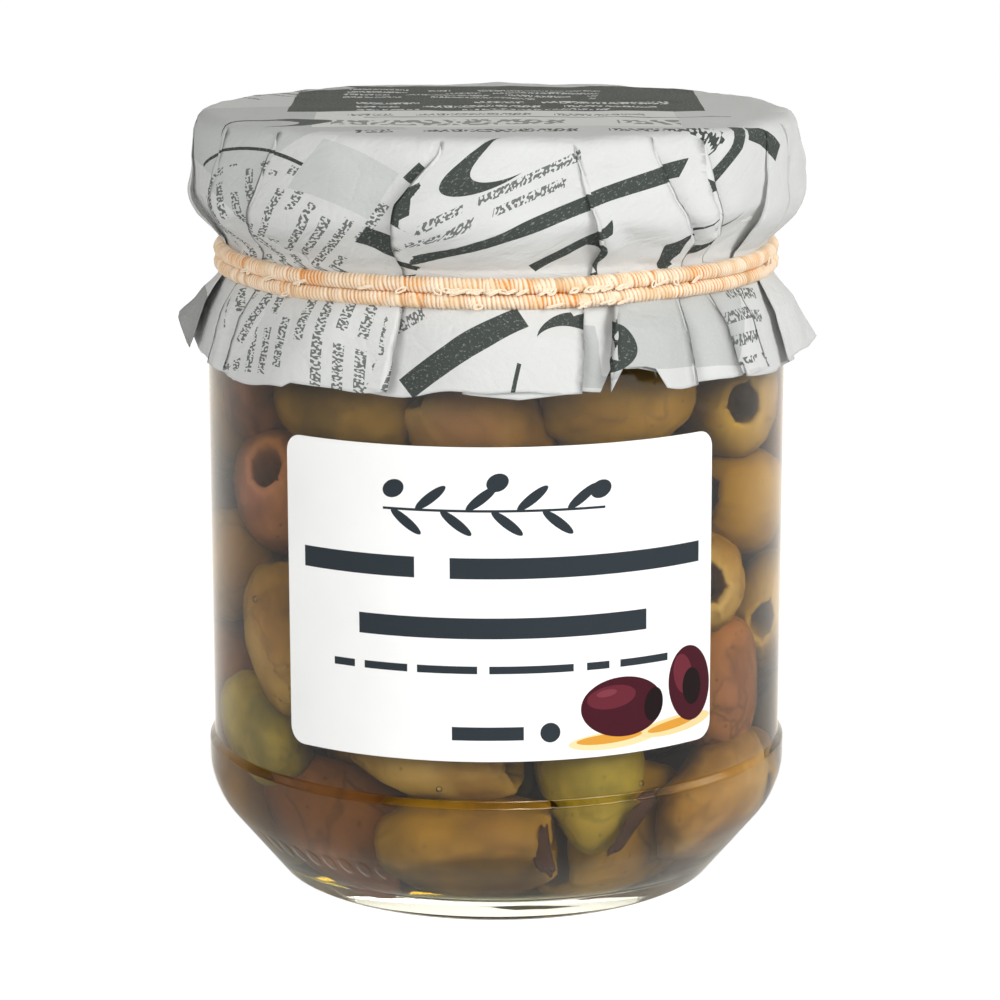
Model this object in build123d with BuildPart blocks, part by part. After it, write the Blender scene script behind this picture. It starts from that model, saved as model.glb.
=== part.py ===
"""A 228 ml glass jar of olives in oil, shut with a twist-off lid under a gathered paper cover.

Millimetres. The origin is the centre of the jar's foot, +Z is up and the label faces -Y.
Each piece is a solid of its own: the glass, what fills it, the lid, the paper cover, the elastic
loop that is wound twice round the neck, and the paper label.
"""

import os
from math import cos, radians, sin, tan

from build123d import *

# ---------------------------------------------------------------- driving dimensions
# Glass jar
jar_height = 87.3  # foot to sealing lip
body_radius = 33.0
belly_step = 0.6  # how far the belly stands out of the body
belly_height = 5.0  # upright part of the belly, above the heel's corner
step_height = 1.3  # slope between belly and body
foot_radius = 25.0
heel_angle = 39.7  # of the heel's slope, from upright
heel_round = 8.3
foot_round = 1.5
step_round = 0.9
glass_wall = 2.4
neck_radius = 29.7
neck_wall = 2.2
neck_height = 19.8  # shoulder's inner corner to lip
shoulder_height = 4.0
shoulder_round = 2.4
lip_round = 0.9
base_thickness = 4.0
push_up = 1.4  # rise of the underside inside the foot ring
foot_ring_width = 3.2

# What fills it
headspace = 3.8  # oil level below the lip
fill_clearance = 0.02

# Twist-off lid
lid_overhang = 3.4  # lid's outside beyond the neck
lid_metal = 0.5
lid_seal = 0.2  # sealing compound under the panel
lid_height = 10.4
lid_corner = 1.4
lid_curl = 0.7  # radius of the rolled edge

# Paper cover
paper_thickness = 0.25
paper_clearance = 0.05
pleat_rise_lid = 0.55  # how far a fold stands up at the lid's lower edge
pleat_rise_neck = 0.25  # where the elastic presses it
pleat_rise_shoulder = 0.9
pleat_rise_hem = 1.1
cover_draw_in = 3.3  # height over which the paper goes in from the lid to the neck
skirt_overlap = 2.35  # how far the hem hangs below the shoulder's corner
skirt_lift = 0.2  # between that corner and the paper over it
skirt_flare = 1.0  # hem's hollow beyond the body
# Fold lines round the cover, in degrees from the front (-Y) towards +X. A fold of +1 has its left
# panel on top, one of -1 its right panel.
folds = [
    (-163, 1),
    (-144, -1),
    (-125, 1),
    (-108, 1),
    (-91, -1),
    (-76, 1),
    (-62, 1),
    (-47, -1),
    (-18, 1),
    (14, 1),
    (27, -1),
    (39, -1),
    (53, 1),
    (71, -1),
    (90, 1),
    (109, -1),
    (128, 1),
    (147, -1),
    (172, 1),
]
fold_gap = 0.5  # degrees, half the width of a fold's edge
panel_spans = 4  # straight spans across one panel
widest_span = 9.0  # degrees, more than any span takes of the circle
corner_flats = 3  # flats round the lid's corner

# Elastic loop, wound twice
strand_diameter = 1.66
strand_gap = 0.02  # between the two turns
strand_clearance = 0.1  # between the elastic and the paper's folds
crossing_angle = 17.0  # degrees each side of the back, where the strands change places
crossing_press = 0.3  # how far the strand on top sinks into the one it crosses
crossing_run = 0.55  # share of the way to the back that a strand runs straight before it turns
crossing_round = 6.0

# Label
label_width = 51.2  # along the glass
label_thickness = 0.15
label_glue = 0.05  # layer of glue between the label and the glass
label_corner = 2.6
label_bottom_gap = 4.2  # above the belly's step
label_top_gap = 8.0  # below the shoulder

# ---------------------------------------------------------------- places worked out from them
belly_radius = body_radius + belly_step
heel_corner_z = (belly_radius - foot_radius) / tan(radians(heel_angle))
belly_top_z = heel_corner_z + belly_height
body_bottom_z = belly_top_z + step_height
neck_bottom_z = jar_height - neck_height
shoulder_z = neck_bottom_z - shoulder_height
fill_level = jar_height - headspace

lid_radius = neck_radius + lid_overhang
lid_top_z = jar_height + lid_seal + lid_metal
lid_bottom_z = lid_top_z - lid_height

strand_radius = strand_diameter / 2
band_top_z = lid_bottom_z - cover_draw_in
band_bottom_z = band_top_z - 2 * strand_diameter - strand_gap
hem_z = shoulder_z - skirt_overlap
chord_share = cos(radians(widest_span / 2))  # how near the axis a straight span passes


# ---------------------------------------------------------------- glass jar
def jar_outside():
    """Outline of the glass from the foot ring up to the lip, on the plane of revolution."""
    corners = [
        (foot_radius - foot_ring_width - push_up, push_up),
        (foot_radius - foot_ring_width, 0),
        (foot_radius, 0),
        (belly_radius, heel_corner_z),
        (belly_radius, belly_top_z),
        (body_radius, body_bottom_z),
        (body_radius, shoulder_z),
        (neck_radius, neck_bottom_z),
        (neck_radius, jar_height),
        (neck_radius - neck_wall, jar_height),
    ]
    rounds = [
        0.6,
        foot_round,
        heel_round,
        step_round,
        step_round,
        shoulder_round,
        shoulder_round,
        lip_round,
    ]
    return FilletPolyline(*corners, radius=rounds)


def hollow_corners(gap):
    """Corners of the hollow from the middle of its floor up the wall, drawn in by a gap."""
    slant = glass_wall / cos(radians(heel_angle))
    floor_z = base_thickness + gap
    inner_radius = body_radius - glass_wall - gap
    heel_start = foot_radius - slant - gap + base_thickness * tan(radians(heel_angle))
    heel_end_z = floor_z + (inner_radius - heel_start) / tan(radians(heel_angle))
    return [
        (0, floor_z + push_up),
        (heel_start - 2 * push_up, floor_z),
        (heel_start, floor_z),
        (inner_radius, heel_end_z),
        (inner_radius, shoulder_z - glass_wall / 4),
        (neck_radius - neck_wall - gap, neck_bottom_z),
    ]


hollow_rounds = [4.0, 2.0, heel_round, shoulder_round]

with BuildPart() as jar:
    with BuildSketch(Plane.XZ):
        with BuildLine():
            outside = jar_outside()
            Line(outside @ 1, (0, jar_height))
            Line((0, jar_height), (0, push_up))
            Line((0, push_up), outside @ 0)
        make_face()
    revolve(axis=Axis.Z)
    with BuildSketch(Plane.XZ):
        with BuildLine():
            inside = FilletPolyline(*hollow_corners(0), radius=hollow_rounds)
            Polyline(
                inside @ 1,
                (neck_radius - neck_wall, jar_height),
                (0, jar_height),
                inside @ 0,
            )
        make_face()
    revolve(axis=Axis.Z, mode=Mode.SUBTRACT)
jar.part.label = "jar"

# ---------------------------------------------------------------- olives in oil, up to the level
with BuildPart() as olives_in_oil:
    with BuildSketch(Plane.XZ):
        with BuildLine():
            wetted = FilletPolyline(*hollow_corners(fill_clearance), radius=hollow_rounds)
            Polyline(
                wetted @ 1,
                (neck_radius - neck_wall - fill_clearance, fill_level),
                (0, fill_level),
                wetted @ 0,
            )
        make_face()
    revolve(axis=Axis.Z)
olives_in_oil.part.label = "olives_in_oil"

# ---------------------------------------------------------------- twist-off lid
with BuildPart() as lid:
    with BuildSketch(Plane.XZ):
        with BuildLine():
            shell = FilletPolyline(
                (0, lid_top_z),
                (lid_radius, lid_top_z),
                (lid_radius, lid_bottom_z + lid_curl),
                radius=lid_corner,
            )
            Polyline(
                shell @ 1,
                (lid_radius - lid_metal, lid_bottom_z + lid_curl),
                (lid_radius - lid_metal, jar_height),
                (0, jar_height),
                (0, lid_top_z),
            )
        make_face()
        with Locations((lid_radius - lid_curl, lid_bottom_z + lid_curl)):
            Circle(lid_curl)
    revolve(axis=Axis.Z)
lid.part.label = "lid"


# ---------------------------------------------------------------- paper cover
def around(radius, angle):
    """A point on the drawing plane, at an angle from the front towards +X."""
    return (radius * sin(radians(angle)), -radius * cos(radians(angle)))


def pleated_outline(radius, rise):
    """A closed outline of flat panels, each raised by rise at an end that lies over its neighbour."""
    points = []
    for index, (start, start_side) in enumerate(folds):
        end, end_side = folds[(index + 1) % len(folds)]
        if end < start:
            end += 360
        first, last = start + fold_gap, end - fold_gap
        left_rise = rise if start_side < 0 else 0
        right_rise = rise if end_side > 0 else 0
        for step in range(panel_spans + 1):
            share = step / panel_spans
            lift = left_rise + (right_rise - left_rise) * share
            points.append(around(radius + lift, first + (last - first) * share))
    return points


def cover_levels():
    """Height, inner radius and pleat rise of each level of the paper, from the hem to the top."""
    over_lid = (lid_radius + paper_clearance) / chord_share
    over_neck = (neck_radius + paper_clearance) / chord_share
    over_shoulder = (body_radius + skirt_lift) / chord_share
    levels = [
        (hem_z, body_radius + skirt_flare, pleat_rise_hem),
        (shoulder_z, over_shoulder, pleat_rise_shoulder),
        (band_bottom_z, over_neck, pleat_rise_neck),
        (band_top_z, over_neck, pleat_rise_neck),
        (lid_bottom_z - paper_clearance, over_lid, pleat_rise_lid),
    ]
    # Round the lid's corner the paper is a row of flats that touch a slightly larger arc.
    half_flat = 90 / corner_flats / 2
    reach = (lid_corner + paper_clearance) / cos(radians(half_flat))
    for flat in range(corner_flats):
        bend = half_flat * (2 * flat + 1)
        rise = pleat_rise_lid * 0.3 * cos(radians(bend)) + 0.01
        out = (lid_radius - lid_corner + reach * cos(radians(bend))) / chord_share
        levels.append((lid_top_z - lid_corner + reach * sin(radians(bend)), out, rise))
    return levels


with BuildPart() as paper_cover:
    for level_z, radius, rise in cover_levels():
        top = paper_thickness if level_z > lid_top_z else 0
        with BuildSketch(Plane.XY.offset(level_z + top)):
            with BuildLine():
                Polyline(*pleated_outline(radius + paper_thickness, rise), close=True)
            make_face()
    loft(ruled=True)
    for level_z, radius, rise in cover_levels():
        with BuildSketch(Plane.XY.offset(level_z)):
            with BuildLine():
                Polyline(*pleated_outline(radius, rise), close=True)
            make_face()
    loft(ruled=True, mode=Mode.SUBTRACT)
paper_cover.part.label = "paper_cover"

# ---------------------------------------------------------------- elastic loop, wound twice
paper_on_neck = (neck_radius + paper_clearance) / chord_share + paper_thickness + pleat_rise_neck
strand_path_radius = paper_on_neck + strand_clearance + strand_radius
upper_z = band_top_z - strand_radius
lower_z = upper_z - strand_diameter - strand_gap


def strand_point(angle, height):
    """A point on the middle line of one turn."""
    return (*around(strand_path_radius, angle), height)


def crossing_path(start_z, end_z, out):
    """The way from one turn to the other across the back, carried out over the other strand."""
    turn = radians(crossing_angle)
    still_to_go = strand_path_radius * tan(turn) * (1 - crossing_run)
    side = still_to_go * cos(turn)
    back = strand_path_radius / cos(turn) - still_to_go * sin(turn)
    return FilletPolyline(
        strand_point(180 - crossing_angle, start_z),
        (side, back, start_z),
        (0, back + out, (start_z + end_z) / 2),
        (-side, back, end_z),
        strand_point(180 + crossing_angle, end_z),
        radius=crossing_round,
    )


with BuildPart() as elastic:
    turn_start = 180 + crossing_angle
    for turn_z in (upper_z, lower_z):
        cut = Plane(
            origin=strand_point(turn_start, turn_z),
            x_dir=(0, 0, 1),
            z_dir=(cos(radians(turn_start)), sin(radians(turn_start)), 0),
        )
        with BuildSketch(cut):
            Circle(strand_radius)
        revolve(axis=Axis.Z, revolution_arc=360 - 2 * crossing_angle)
    for start_z, end_z, out in (
        (upper_z, lower_z, 0.1),
        (lower_z, upper_z, strand_diameter - crossing_press),
    ):
        with BuildLine() as change:
            crossing_path(start_z, end_z, out)
        with BuildSketch(Plane(origin=change.line @ 0, z_dir=change.line % 0)):
            Circle(strand_radius)
        sweep(path=change.line)
elastic.part.label = "elastic"

# ---------------------------------------------------------------- label
label_bottom_z = body_bottom_z + label_bottom_gap
label_top_z = shoulder_z - label_top_gap
label_half_angle = label_width / body_radius / 2  # radians
label_back = body_radius + label_glue
label_face = label_back + label_thickness
with BuildPart() as label:
    with BuildSketch():
        Circle(label_face)
        Circle(label_back, mode=Mode.SUBTRACT)
    extrude(amount=jar_height)
    with BuildSketch(Plane.XZ):
        with Locations((0, (label_bottom_z + label_top_z) / 2)):
            RectangleRounded(
                2 * label_face * sin(label_half_angle),
                label_top_z - label_bottom_z,
                label_corner,
            )
    extrude(amount=2 * body_radius, mode=Mode.INTERSECT)
label.part.label = "label"

# ---------------------------------------------------------------- files
os.makedirs("parts", exist_ok=True)
for piece in (jar, olives_in_oil, lid, paper_cover, elastic, label):
    export_step(piece.part, f"parts/{piece.part.label}.step")
print("glass", round(jar.part.volume / 1000, 1), "ml, fill", round(olives_in_oil.part.volume / 1000, 1), "ml")
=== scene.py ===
"""Looks of a jar of pitted olives in oil, shut under a gathered paper cover.

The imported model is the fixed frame. Each class below makes one sub-assembly in millimetres,
dresses it and ties it to the frame, whose origin is the centre of the jar's foot, with +Z up and
the label facing -Y.
"""

import logging
import math
import random
from collections.abc import Callable
from dataclasses import dataclass, field
from enum import Enum

import bmesh
import bpy
import numpy as np
from mathutils import Matrix, Vector, noise


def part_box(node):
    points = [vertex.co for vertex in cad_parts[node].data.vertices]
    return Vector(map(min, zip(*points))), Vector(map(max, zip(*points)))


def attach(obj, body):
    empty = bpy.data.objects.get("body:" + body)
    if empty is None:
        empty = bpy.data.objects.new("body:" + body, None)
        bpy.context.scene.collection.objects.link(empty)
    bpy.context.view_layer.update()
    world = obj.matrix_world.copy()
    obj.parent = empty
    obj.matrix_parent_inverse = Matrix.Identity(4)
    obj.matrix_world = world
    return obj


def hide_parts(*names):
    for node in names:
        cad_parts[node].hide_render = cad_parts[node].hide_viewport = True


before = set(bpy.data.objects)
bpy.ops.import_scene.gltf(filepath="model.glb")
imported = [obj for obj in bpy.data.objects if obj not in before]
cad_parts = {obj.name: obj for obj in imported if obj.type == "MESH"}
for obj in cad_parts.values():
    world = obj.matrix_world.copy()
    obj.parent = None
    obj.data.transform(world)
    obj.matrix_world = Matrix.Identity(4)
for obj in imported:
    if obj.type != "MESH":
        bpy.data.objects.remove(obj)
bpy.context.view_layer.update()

MM = 0.001
LOG = logging.getLogger("jar")

Socket = bpy.types.NodeSocket
Colour = tuple[float, float, float, float]
Pair = tuple[float, float]


# ------------------------------------------------------------------ shared helpers
def srgb(code: str) -> Colour:
    """Turn an sRGB hex colour into linear values.

    Args:
        code: Six hex digits, such as "c8a060".

    Returns:
        Linear red, green and blue, and an alpha of 1.
    """
    values = []
    for start in (0, 2, 4):
        share = int(code[start : start + 2], 16) / 255
        values.append(share / 12.92 if share <= 0.04045 else ((share + 0.055) / 1.055) ** 2.4)
    return (*values, 1.0)


def add(tree: bpy.types.NodeTree, kind: str, inputs: dict | None = None, **settings) -> bpy.types.Node:
    """Add a node with its settings, values and links.

    Args:
        tree: The node tree.
        kind: The node's type name after "ShaderNode".
        inputs: Input name or index to a value, or to the socket that feeds it.
        **settings: Properties of the node.

    Returns:
        The new node.
    """
    node = tree.nodes.new("ShaderNode" + kind)
    for name, value in settings.items():
        setattr(node, name, value)
    for key, value in (inputs or {}).items():
        if isinstance(value, Socket):
            tree.links.new(value, node.inputs[key])
        else:
            node.inputs[key].default_value = value
    return node


def calc(tree: bpy.types.NodeTree, operation: str, *values: float | Socket) -> Socket:
    """Work out one operation on values or on the sockets that feed it."""
    return add(tree, "Math", dict(enumerate(values)), operation=operation).outputs[0]


def blend(
    tree: bpy.types.NodeTree, share: float | Socket, first: Colour | Socket, second: Colour | Socket
) -> Socket:
    """Mix two colours. A share of 0 gives the first."""
    return add(tree, "Mix", {0: share, 6: first, 7: second}, data_type="RGBA").outputs[2]


def new_material(name: str) -> tuple[bpy.types.Material, bpy.types.NodeTree, bpy.types.Node]:
    """Make an empty node material.

    Args:
        name: The material's name.

    Returns:
        The material, its tree and its output node.
    """
    material = bpy.data.materials.new(name)
    material.use_nodes = True
    tree = material.node_tree
    tree.nodes.clear()
    return material, tree, add(tree, "OutputMaterial")


def ramp(tree: bpy.types.NodeTree, fac: Socket, stops: list[tuple[float, str]]) -> Socket:
    """Colour a value by a row of sRGB stops.

    Args:
        tree: The node tree.
        fac: The value that is looked up.
        stops: Position and hex colour of each stop.

    Returns:
        The colour socket.
    """
    node = add(tree, "ValToRGB", {"Fac": fac})
    elements = node.color_ramp.elements
    for place, code in stops[2:]:
        elements.new(place)
    for element, (place, code) in zip(elements, sorted(stops)):
        element.position = place
        element.color = srgb(code)
    return node.outputs["Color"]


def join(heap: bmesh.types.BMesh, shape: bmesh.types.BMesh) -> None:
    """Put a finished shape in a heap of shapes, and free it."""
    scratch = bpy.data.meshes.new("scratch")
    shape.to_mesh(scratch)
    shape.free()
    heap.from_mesh(scratch)
    bpy.data.meshes.remove(scratch)


def make_piece(
    shape: bmesh.types.BMesh,
    name: str,
    materials: list[bpy.types.Material],
    node: str,
) -> bpy.types.Object:
    """Turn a shape in millimetres into a piece of the object.

    Args:
        shape: The shape, which is freed.
        name: The piece's name.
        materials: Its materials, in slot order.
        node: The CAD node that it stands for.

    Returns:
        The new object.
    """
    bmesh.ops.scale(shape, vec=(MM, MM, MM), verts=shape.verts)
    mesh = bpy.data.meshes.new(name)
    shape.to_mesh(mesh)
    shape.free()
    mesh.shade_smooth()
    for material in materials:
        mesh.materials.append(material)
    piece = bpy.data.objects.new(name, mesh)
    bpy.context.scene.collection.objects.link(piece)
    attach(piece, "root")
    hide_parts(node)
    LOG.info("%s: %d faces", name, len(mesh.polygons))
    return piece


@dataclass(frozen=True)
class Corner:
    """A corner of a turned outline: its radius from the axis, its height and its rounding."""

    radius: float
    height: float
    rounding: float = 0.0


def turned(corners: list[Corner], steps: int, arc_segments: int = 6) -> bmesh.types.BMesh:
    """Turn a closed outline about the upright axis.

    Args:
        corners: The outline's corners in order. Those on the axis are joined by the axis.
        steps: How many steps the full turn has.
        arc_segments: Segments in each rounded corner.

    Returns:
        A closed shape in millimetres.
    """
    shape = bmesh.new()
    verts = [shape.verts.new((corner.radius, 0, corner.height)) for corner in corners]
    shape.faces.new(verts)
    for index, (vert, corner) in enumerate(zip(verts, corners)):
        if not corner.rounding:
            continue
        before, after = corners[index - 1], corners[(index + 1) % len(corners)]
        to_before = Vector((before.radius - corner.radius, before.height - corner.height))
        to_after = Vector((after.radius - corner.radius, after.height - corner.height))
        turn = math.pi - to_before.angle(to_after)
        bmesh.ops.bevel(
            shape,
            geom=[vert],
            offset=corner.rounding * math.tan(turn / 2),
            offset_type="OFFSET",
            segments=arc_segments,
            profile=0.5,
            affect="VERTICES",
            material=-1,
        )
    bmesh.ops.delete(shape, geom=shape.faces[:], context="FACES_ONLY")
    on_axis = [edge for edge in shape.edges if all(vert.co.x < 1e-6 for vert in edge.verts)]
    bmesh.ops.delete(shape, geom=on_axis, context="EDGES")
    bmesh.ops.spin(
        shape,
        geom=shape.edges[:],
        cent=(0, 0, 0),
        axis=(0, 0, 1),
        angle=math.tau,
        steps=steps,
        use_merge=True,
    )
    bmesh.ops.remove_doubles(shape, verts=shape.verts, dist=1e-4)
    bmesh.ops.recalc_face_normals(shape, faces=shape.faces)
    return shape


def around(radius: float, azimuth: float, height: float) -> Vector:
    """A point at an azimuth in degrees from the front, -Y, towards +X."""
    angle = math.radians(azimuth)
    return Vector((radius * math.sin(angle), -radius * math.cos(angle), height))


# ------------------------------------------------------------------ glass jar and oil
@dataclass
class Jar:
    """The glass, with the sizes that the pieces on and in it share."""

    belly_step: float = 0.6
    foot_radius: float = 25.0
    heel_angle: float = 39.7
    belly_height: float = 5.0
    step_height: float = 0.8
    wall: float = 2.4
    neck_radius: float = 29.7
    neck_wall: float = 2.2
    neck_height: float = 19.8
    shoulder_height: float = 4.0
    floor_thickness: float = 4.0
    push_up: float = 1.4
    heel_swell: float = 1.6
    ring_width: float = 3.2
    steps: int = 160
    height: float = field(init=False)
    body_radius: float = field(init=False)
    fill_level: float = field(init=False)

    def __post_init__(self) -> None:
        """Take the overall sizes from the frame."""
        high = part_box("jar")[1]
        self.height = high[2] / MM
        self.body_radius = high[0] / MM - self.belly_step
        self.fill_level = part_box("olives_in_oil")[1][2] / MM

    @property
    def shoulder_z(self) -> float:
        """Height at which the upright body ends."""
        return self.height - self.neck_height - self.shoulder_height

    @property
    def heel_slope(self) -> float:
        """Run over rise of the heel."""
        return math.tan(math.radians(self.heel_angle))

    def outside(self) -> list[Corner]:
        """Corners of the outer wall, from the underside's middle to the lip."""
        belly = self.body_radius + self.belly_step
        heel_z = (belly - self.foot_radius) / self.heel_slope
        belly_z = heel_z + self.belly_height
        ring = self.foot_radius - self.ring_width
        return [
            Corner(0, self.push_up),
            Corner(ring - self.push_up, self.push_up, 0.6),
            Corner(ring, 0, 0.5),
            Corner(self.foot_radius, 0, 1.5),
            Corner(belly, heel_z, 8.3),
            Corner(belly, belly_z + self.step_height / 4, 0.5),
            Corner(self.body_radius, belly_z + self.step_height * 5 / 4, 0.5),
            Corner(self.body_radius, self.shoulder_z, 2.4),
            Corner(self.neck_radius, self.height - self.neck_height, 2.4),
            Corner(self.neck_radius, self.height, 0.9),
        ]

    def inside(self, gap: float) -> list[Corner]:
        """Corners of the hollow, from the lip's foot down to the floor's middle.

        Args:
            gap: How far the outline is drawn in from the glass. Below 0 it reaches into it.

        Returns:
            The corners, without the one at the top.
        """
        slant = self.wall / math.cos(math.radians(self.heel_angle))
        floor_z = self.floor_thickness + gap
        radius = self.body_radius - self.wall - gap
        start = self.foot_radius - slant - gap + self.floor_thickness * self.heel_slope
        heel_z = floor_z + (radius - start) / self.heel_slope
        neck = self.neck_radius - self.neck_wall - gap
        start -= self.heel_swell
        return [
            Corner(neck, self.height - self.neck_height, 2.4),
            Corner(radius, self.shoulder_z - self.wall / 4, 2.4),
            Corner(radius, heel_z, 8.3),
            Corner(start, floor_z, 3.0),
            Corner(start - 2 * self.push_up, floor_z, 4.0),
            Corner(0, floor_z + self.push_up),
        ]

    def inner_radius(self, height: float) -> float:
        """Radius of the hollow at a height above the foot."""
        corners = self.inside(0)[::-1][2:]
        heights = [corner.height for corner in corners]
        radii = [corner.radius for corner in corners]
        return float(np.interp(height, heights, radii))

    def build(self) -> bpy.types.Object:
        """Make the glass."""
        lip = Corner(self.neck_radius - self.neck_wall, self.height, 0.8)
        shape = turned([*self.outside(), lip, *self.inside(0)], self.steps)
        for vert in shape.verts:
            # Pressed glass is never quite even: the wall wanders by a few hundredths.
            wander = noise.noise(vert.co * 0.05 + Vector((3, 7, 1))) * 0.06
            reach = vert.co.xy.length
            if reach > 1 and vert.co.z > 6:
                vert.co.xy *= 1 + wander / reach
        for face in shape.faces:
            centre = face.calc_center_median()
            inwards = face.normal.xy.dot(centre.xy) < -0.05 * centre.xy.length
            floor = face.normal.z > 0.5 and centre.z < self.height / 2
            face.material_index = int((inwards or floor) and centre.z < self.fill_level)
        materials = [ContainerGlass().material(), WettedGlass().material()]
        return make_piece(shape, "glass_jar", materials, "jar")


@dataclass
class Oil:
    """The oil, a clear body that reaches a little way into the glass all round."""

    jar: Jar
    into_wall: float = 0.25

    def build(self) -> bpy.types.Object:
        """Make the oil."""
        top = self.jar.fill_level
        neck = self.jar.neck_radius - self.jar.neck_wall + self.into_wall
        corners = [*self.jar.inside(-self.into_wall), Corner(0, top), Corner(neck, top)]
        shape = turned(corners, self.jar.steps)
        return make_piece(shape, "olive_oil", [OliveOil().material()], "olives_in_oil")


def clear_for_light(tree: bpy.types.NodeTree, surface: Socket, tint: str) -> Socket:
    """Let light reach what a clear surface holds, without waiting for bent rays to find a lamp.

    Args:
        tree: The node tree.
        surface: The clear shader as it is seen.
        tint: Hex colour of the light that passes.

    Returns:
        The mixed shader.
    """
    path = add(tree, "LightPath")
    passing = add(tree, "BsdfTransparent", {"Color": srgb(tint)})
    shadow = path.outputs["Is Shadow Ray"]
    return add(tree, "MixShader", {0: shadow, 1: surface, 2: passing.outputs[0]}).outputs[0]


def bends_only(tree: bpy.types.NodeTree, ior: float) -> Socket:
    """Make a clear surface that bends light. A black specular tint leaves out the shine of air."""
    clear = add(
        tree,
        "BsdfPrincipled",
        {
            "Base Color": srgb("ffffff"),
            "Roughness": 0.0,
            "IOR": ior,
            "Transmission Weight": 1.0,
            "Specular Tint": srgb("000000"),
        },
    )
    return clear_for_light(tree, clear.outputs[0], "ffffff")


@dataclass(frozen=True)
class ContainerGlass:
    """Soda-lime container glass, pressed in a mould: clear, with a faint green in thick places."""

    ior: float = 1.5
    green: str = "f6faf4"
    marks_from: float = -1.04  # azimuth in radians, left of the front
    marks_to: float = -0.42
    marks_per_radian: float = 13.0

    def material(self) -> bpy.types.Material:
        """Build the glass. A very slight waviness breaks up the mirror-like shine."""
        material, tree, out = new_material("soda_lime_glass")
        place = add(tree, "TexCoord").outputs["Object"]
        waves = add(tree, "TexNoise", {"Vector": place, "Scale": 90.0, "Detail": 1.0})
        soft = add(tree, "Bump", {"Height": waves.outputs[0], "Strength": 0.03, "Distance": 0.0004})
        marks = self.moulded_marks(tree, place)
        bump = add(
            tree,
            "Bump",
            {"Height": marks, "Strength": 0.45, "Distance": 0.0002, "Normal": soft.outputs[0]},
        )
        glass = add(
            tree,
            "BsdfPrincipled",
            {
                "Base Color": srgb(self.green),
                "Roughness": 0.0,
                "IOR": self.ior,
                "Transmission Weight": 1.0,
                "Normal": bump.outputs[0],
            },
        )
        tree.links.new(clear_for_light(tree, glass.outputs[0], "f8fbf7"), out.inputs["Surface"])
        return material

    def moulded_marks(self, tree: bpy.types.NodeTree, place: Socket) -> Socket:
        """Height of a row of small plain knobs that the mould leaves on the heel, at the left."""
        axes = add(tree, "SeparateXYZ", {0: place})
        front = calc(tree, "MULTIPLY", axes.outputs[1], -1.0)
        azimuth = calc(tree, "ARCTAN2", axes.outputs[0], front)
        across = calc(tree, "MULTIPLY", azimuth, self.marks_per_radian)
        wave = calc(tree, "FRACT", across)
        off = calc(tree, "ADD", wave, -0.5)
        up = calc(tree, "MULTIPLY_ADD", axes.outputs[2], 330.0, -2.2)
        spot = add(tree, "CombineXYZ", {0: off, 1: up}).outputs[0]
        far = add(tree, "VectorMath", {0: spot}, operation="LENGTH").outputs["Value"]
        knob = add(tree, "MapRange", {0: far, 1: 0.42, 2: 0.22}, interpolation_type="SMOOTHSTEP").outputs[0]
        left = calc(tree, "LESS_THAN", azimuth, self.marks_to)
        right = calc(tree, "GREATER_THAN", azimuth, self.marks_from)
        side = calc(tree, "MULTIPLY", left, right)
        return calc(tree, "MULTIPLY", knob, side)


@dataclass(frozen=True)
class WettedGlass:
    """The inner face of the glass where oil wets it: it bends light but has hardly any shine."""

    ior: float = 1.5

    def material(self) -> bpy.types.Material:
        """Build the wetted face."""
        material, tree, out = new_material("oil_wetted_glass")
        tree.links.new(bends_only(tree, self.ior), out.inputs["Surface"])
        return material


@dataclass(frozen=True)
class OliveOil:
    """Extra virgin oil: nearly clear at a few millimetres, golden brown through the whole jar."""

    ior: float = 1.47
    tint: str = "e3da00"
    density: float = 150.0  # per metre

    def material(self) -> bpy.types.Material:
        """Build the oil."""
        material, tree, out = new_material("golden_olive_oil")
        tree.links.new(bends_only(tree, self.ior), out.inputs["Surface"])
        depth = add(tree, "VolumeAbsorption", {"Color": srgb(self.tint), "Density": self.density})
        tree.links.new(depth.outputs[0], out.inputs["Volume"])
        return material


# ------------------------------------------------------------------ olives
class Ripeness(Enum):
    """Kinds of olive by how ripe they were picked, with the colours of their skin."""

    GREEN = ("green_olives", "84702a", "5a4f1c", "a38c40")
    GOLDEN = ("golden_olives", "7c5a20", "553f15", "96702b")
    TAN = ("tan_olives", "85602e", "5a3d1e", "a68450")
    RUSSET = ("russet_olives", "6d4230", "301c12", "94604a")

    @property
    def piece(self) -> str:
        """Name of the piece that holds this kind."""
        return self.value[0]

    @property
    def skin(self) -> tuple[str, str, str]:
        """Middle, dark and pale colour of the skin."""
        return self.value[1:]


@dataclass
class Olive:
    """One olive: where it lies against the glass, which way its hole points, and its size."""

    azimuth: float
    height: float
    hole: tuple[float, float, float]  # direction of the hole: rightwards, outwards and up
    kind: Ripeness
    length: float = 17.0
    width: float = 12.8
    # painted light and shade: lifts or lowers one olive's skin colour, mostly to paint brighter light on the
    # olives at the right
    bright: float = 0.0
    depth: float = 0.3  # of its side behind the glass
    place: Vector = field(default_factory=Vector)
    axis: Vector = field(default_factory=Vector)
    fixed: bool = True

    def settle(self, jar: Jar) -> None:
        """Work out the place and axis from the azimuth, the height and the wall there."""
        out = around(1, self.azimuth, 0)
        right = Vector((-out.y, out.x, 0))
        across, outward, up = self.hole
        self.axis = (right * across + out * outward + Vector((0, 0, up))).normalized()
        reach = self.width / 2 + (self.length - self.width) / 2 * abs(self.axis.dot(out))
        radius = jar.inner_radius(self.height) - reach - self.depth
        self.place = around(radius, self.azimuth, self.height)


# Azimuth, height, lean and length of each torn bit of skin.
TORN_SKINS = ((10.5, 9.8, 8, 6.0), (29.0, 12.4, -48, 7.4), (150.0, 12.0, 30, 5.0))


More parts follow.
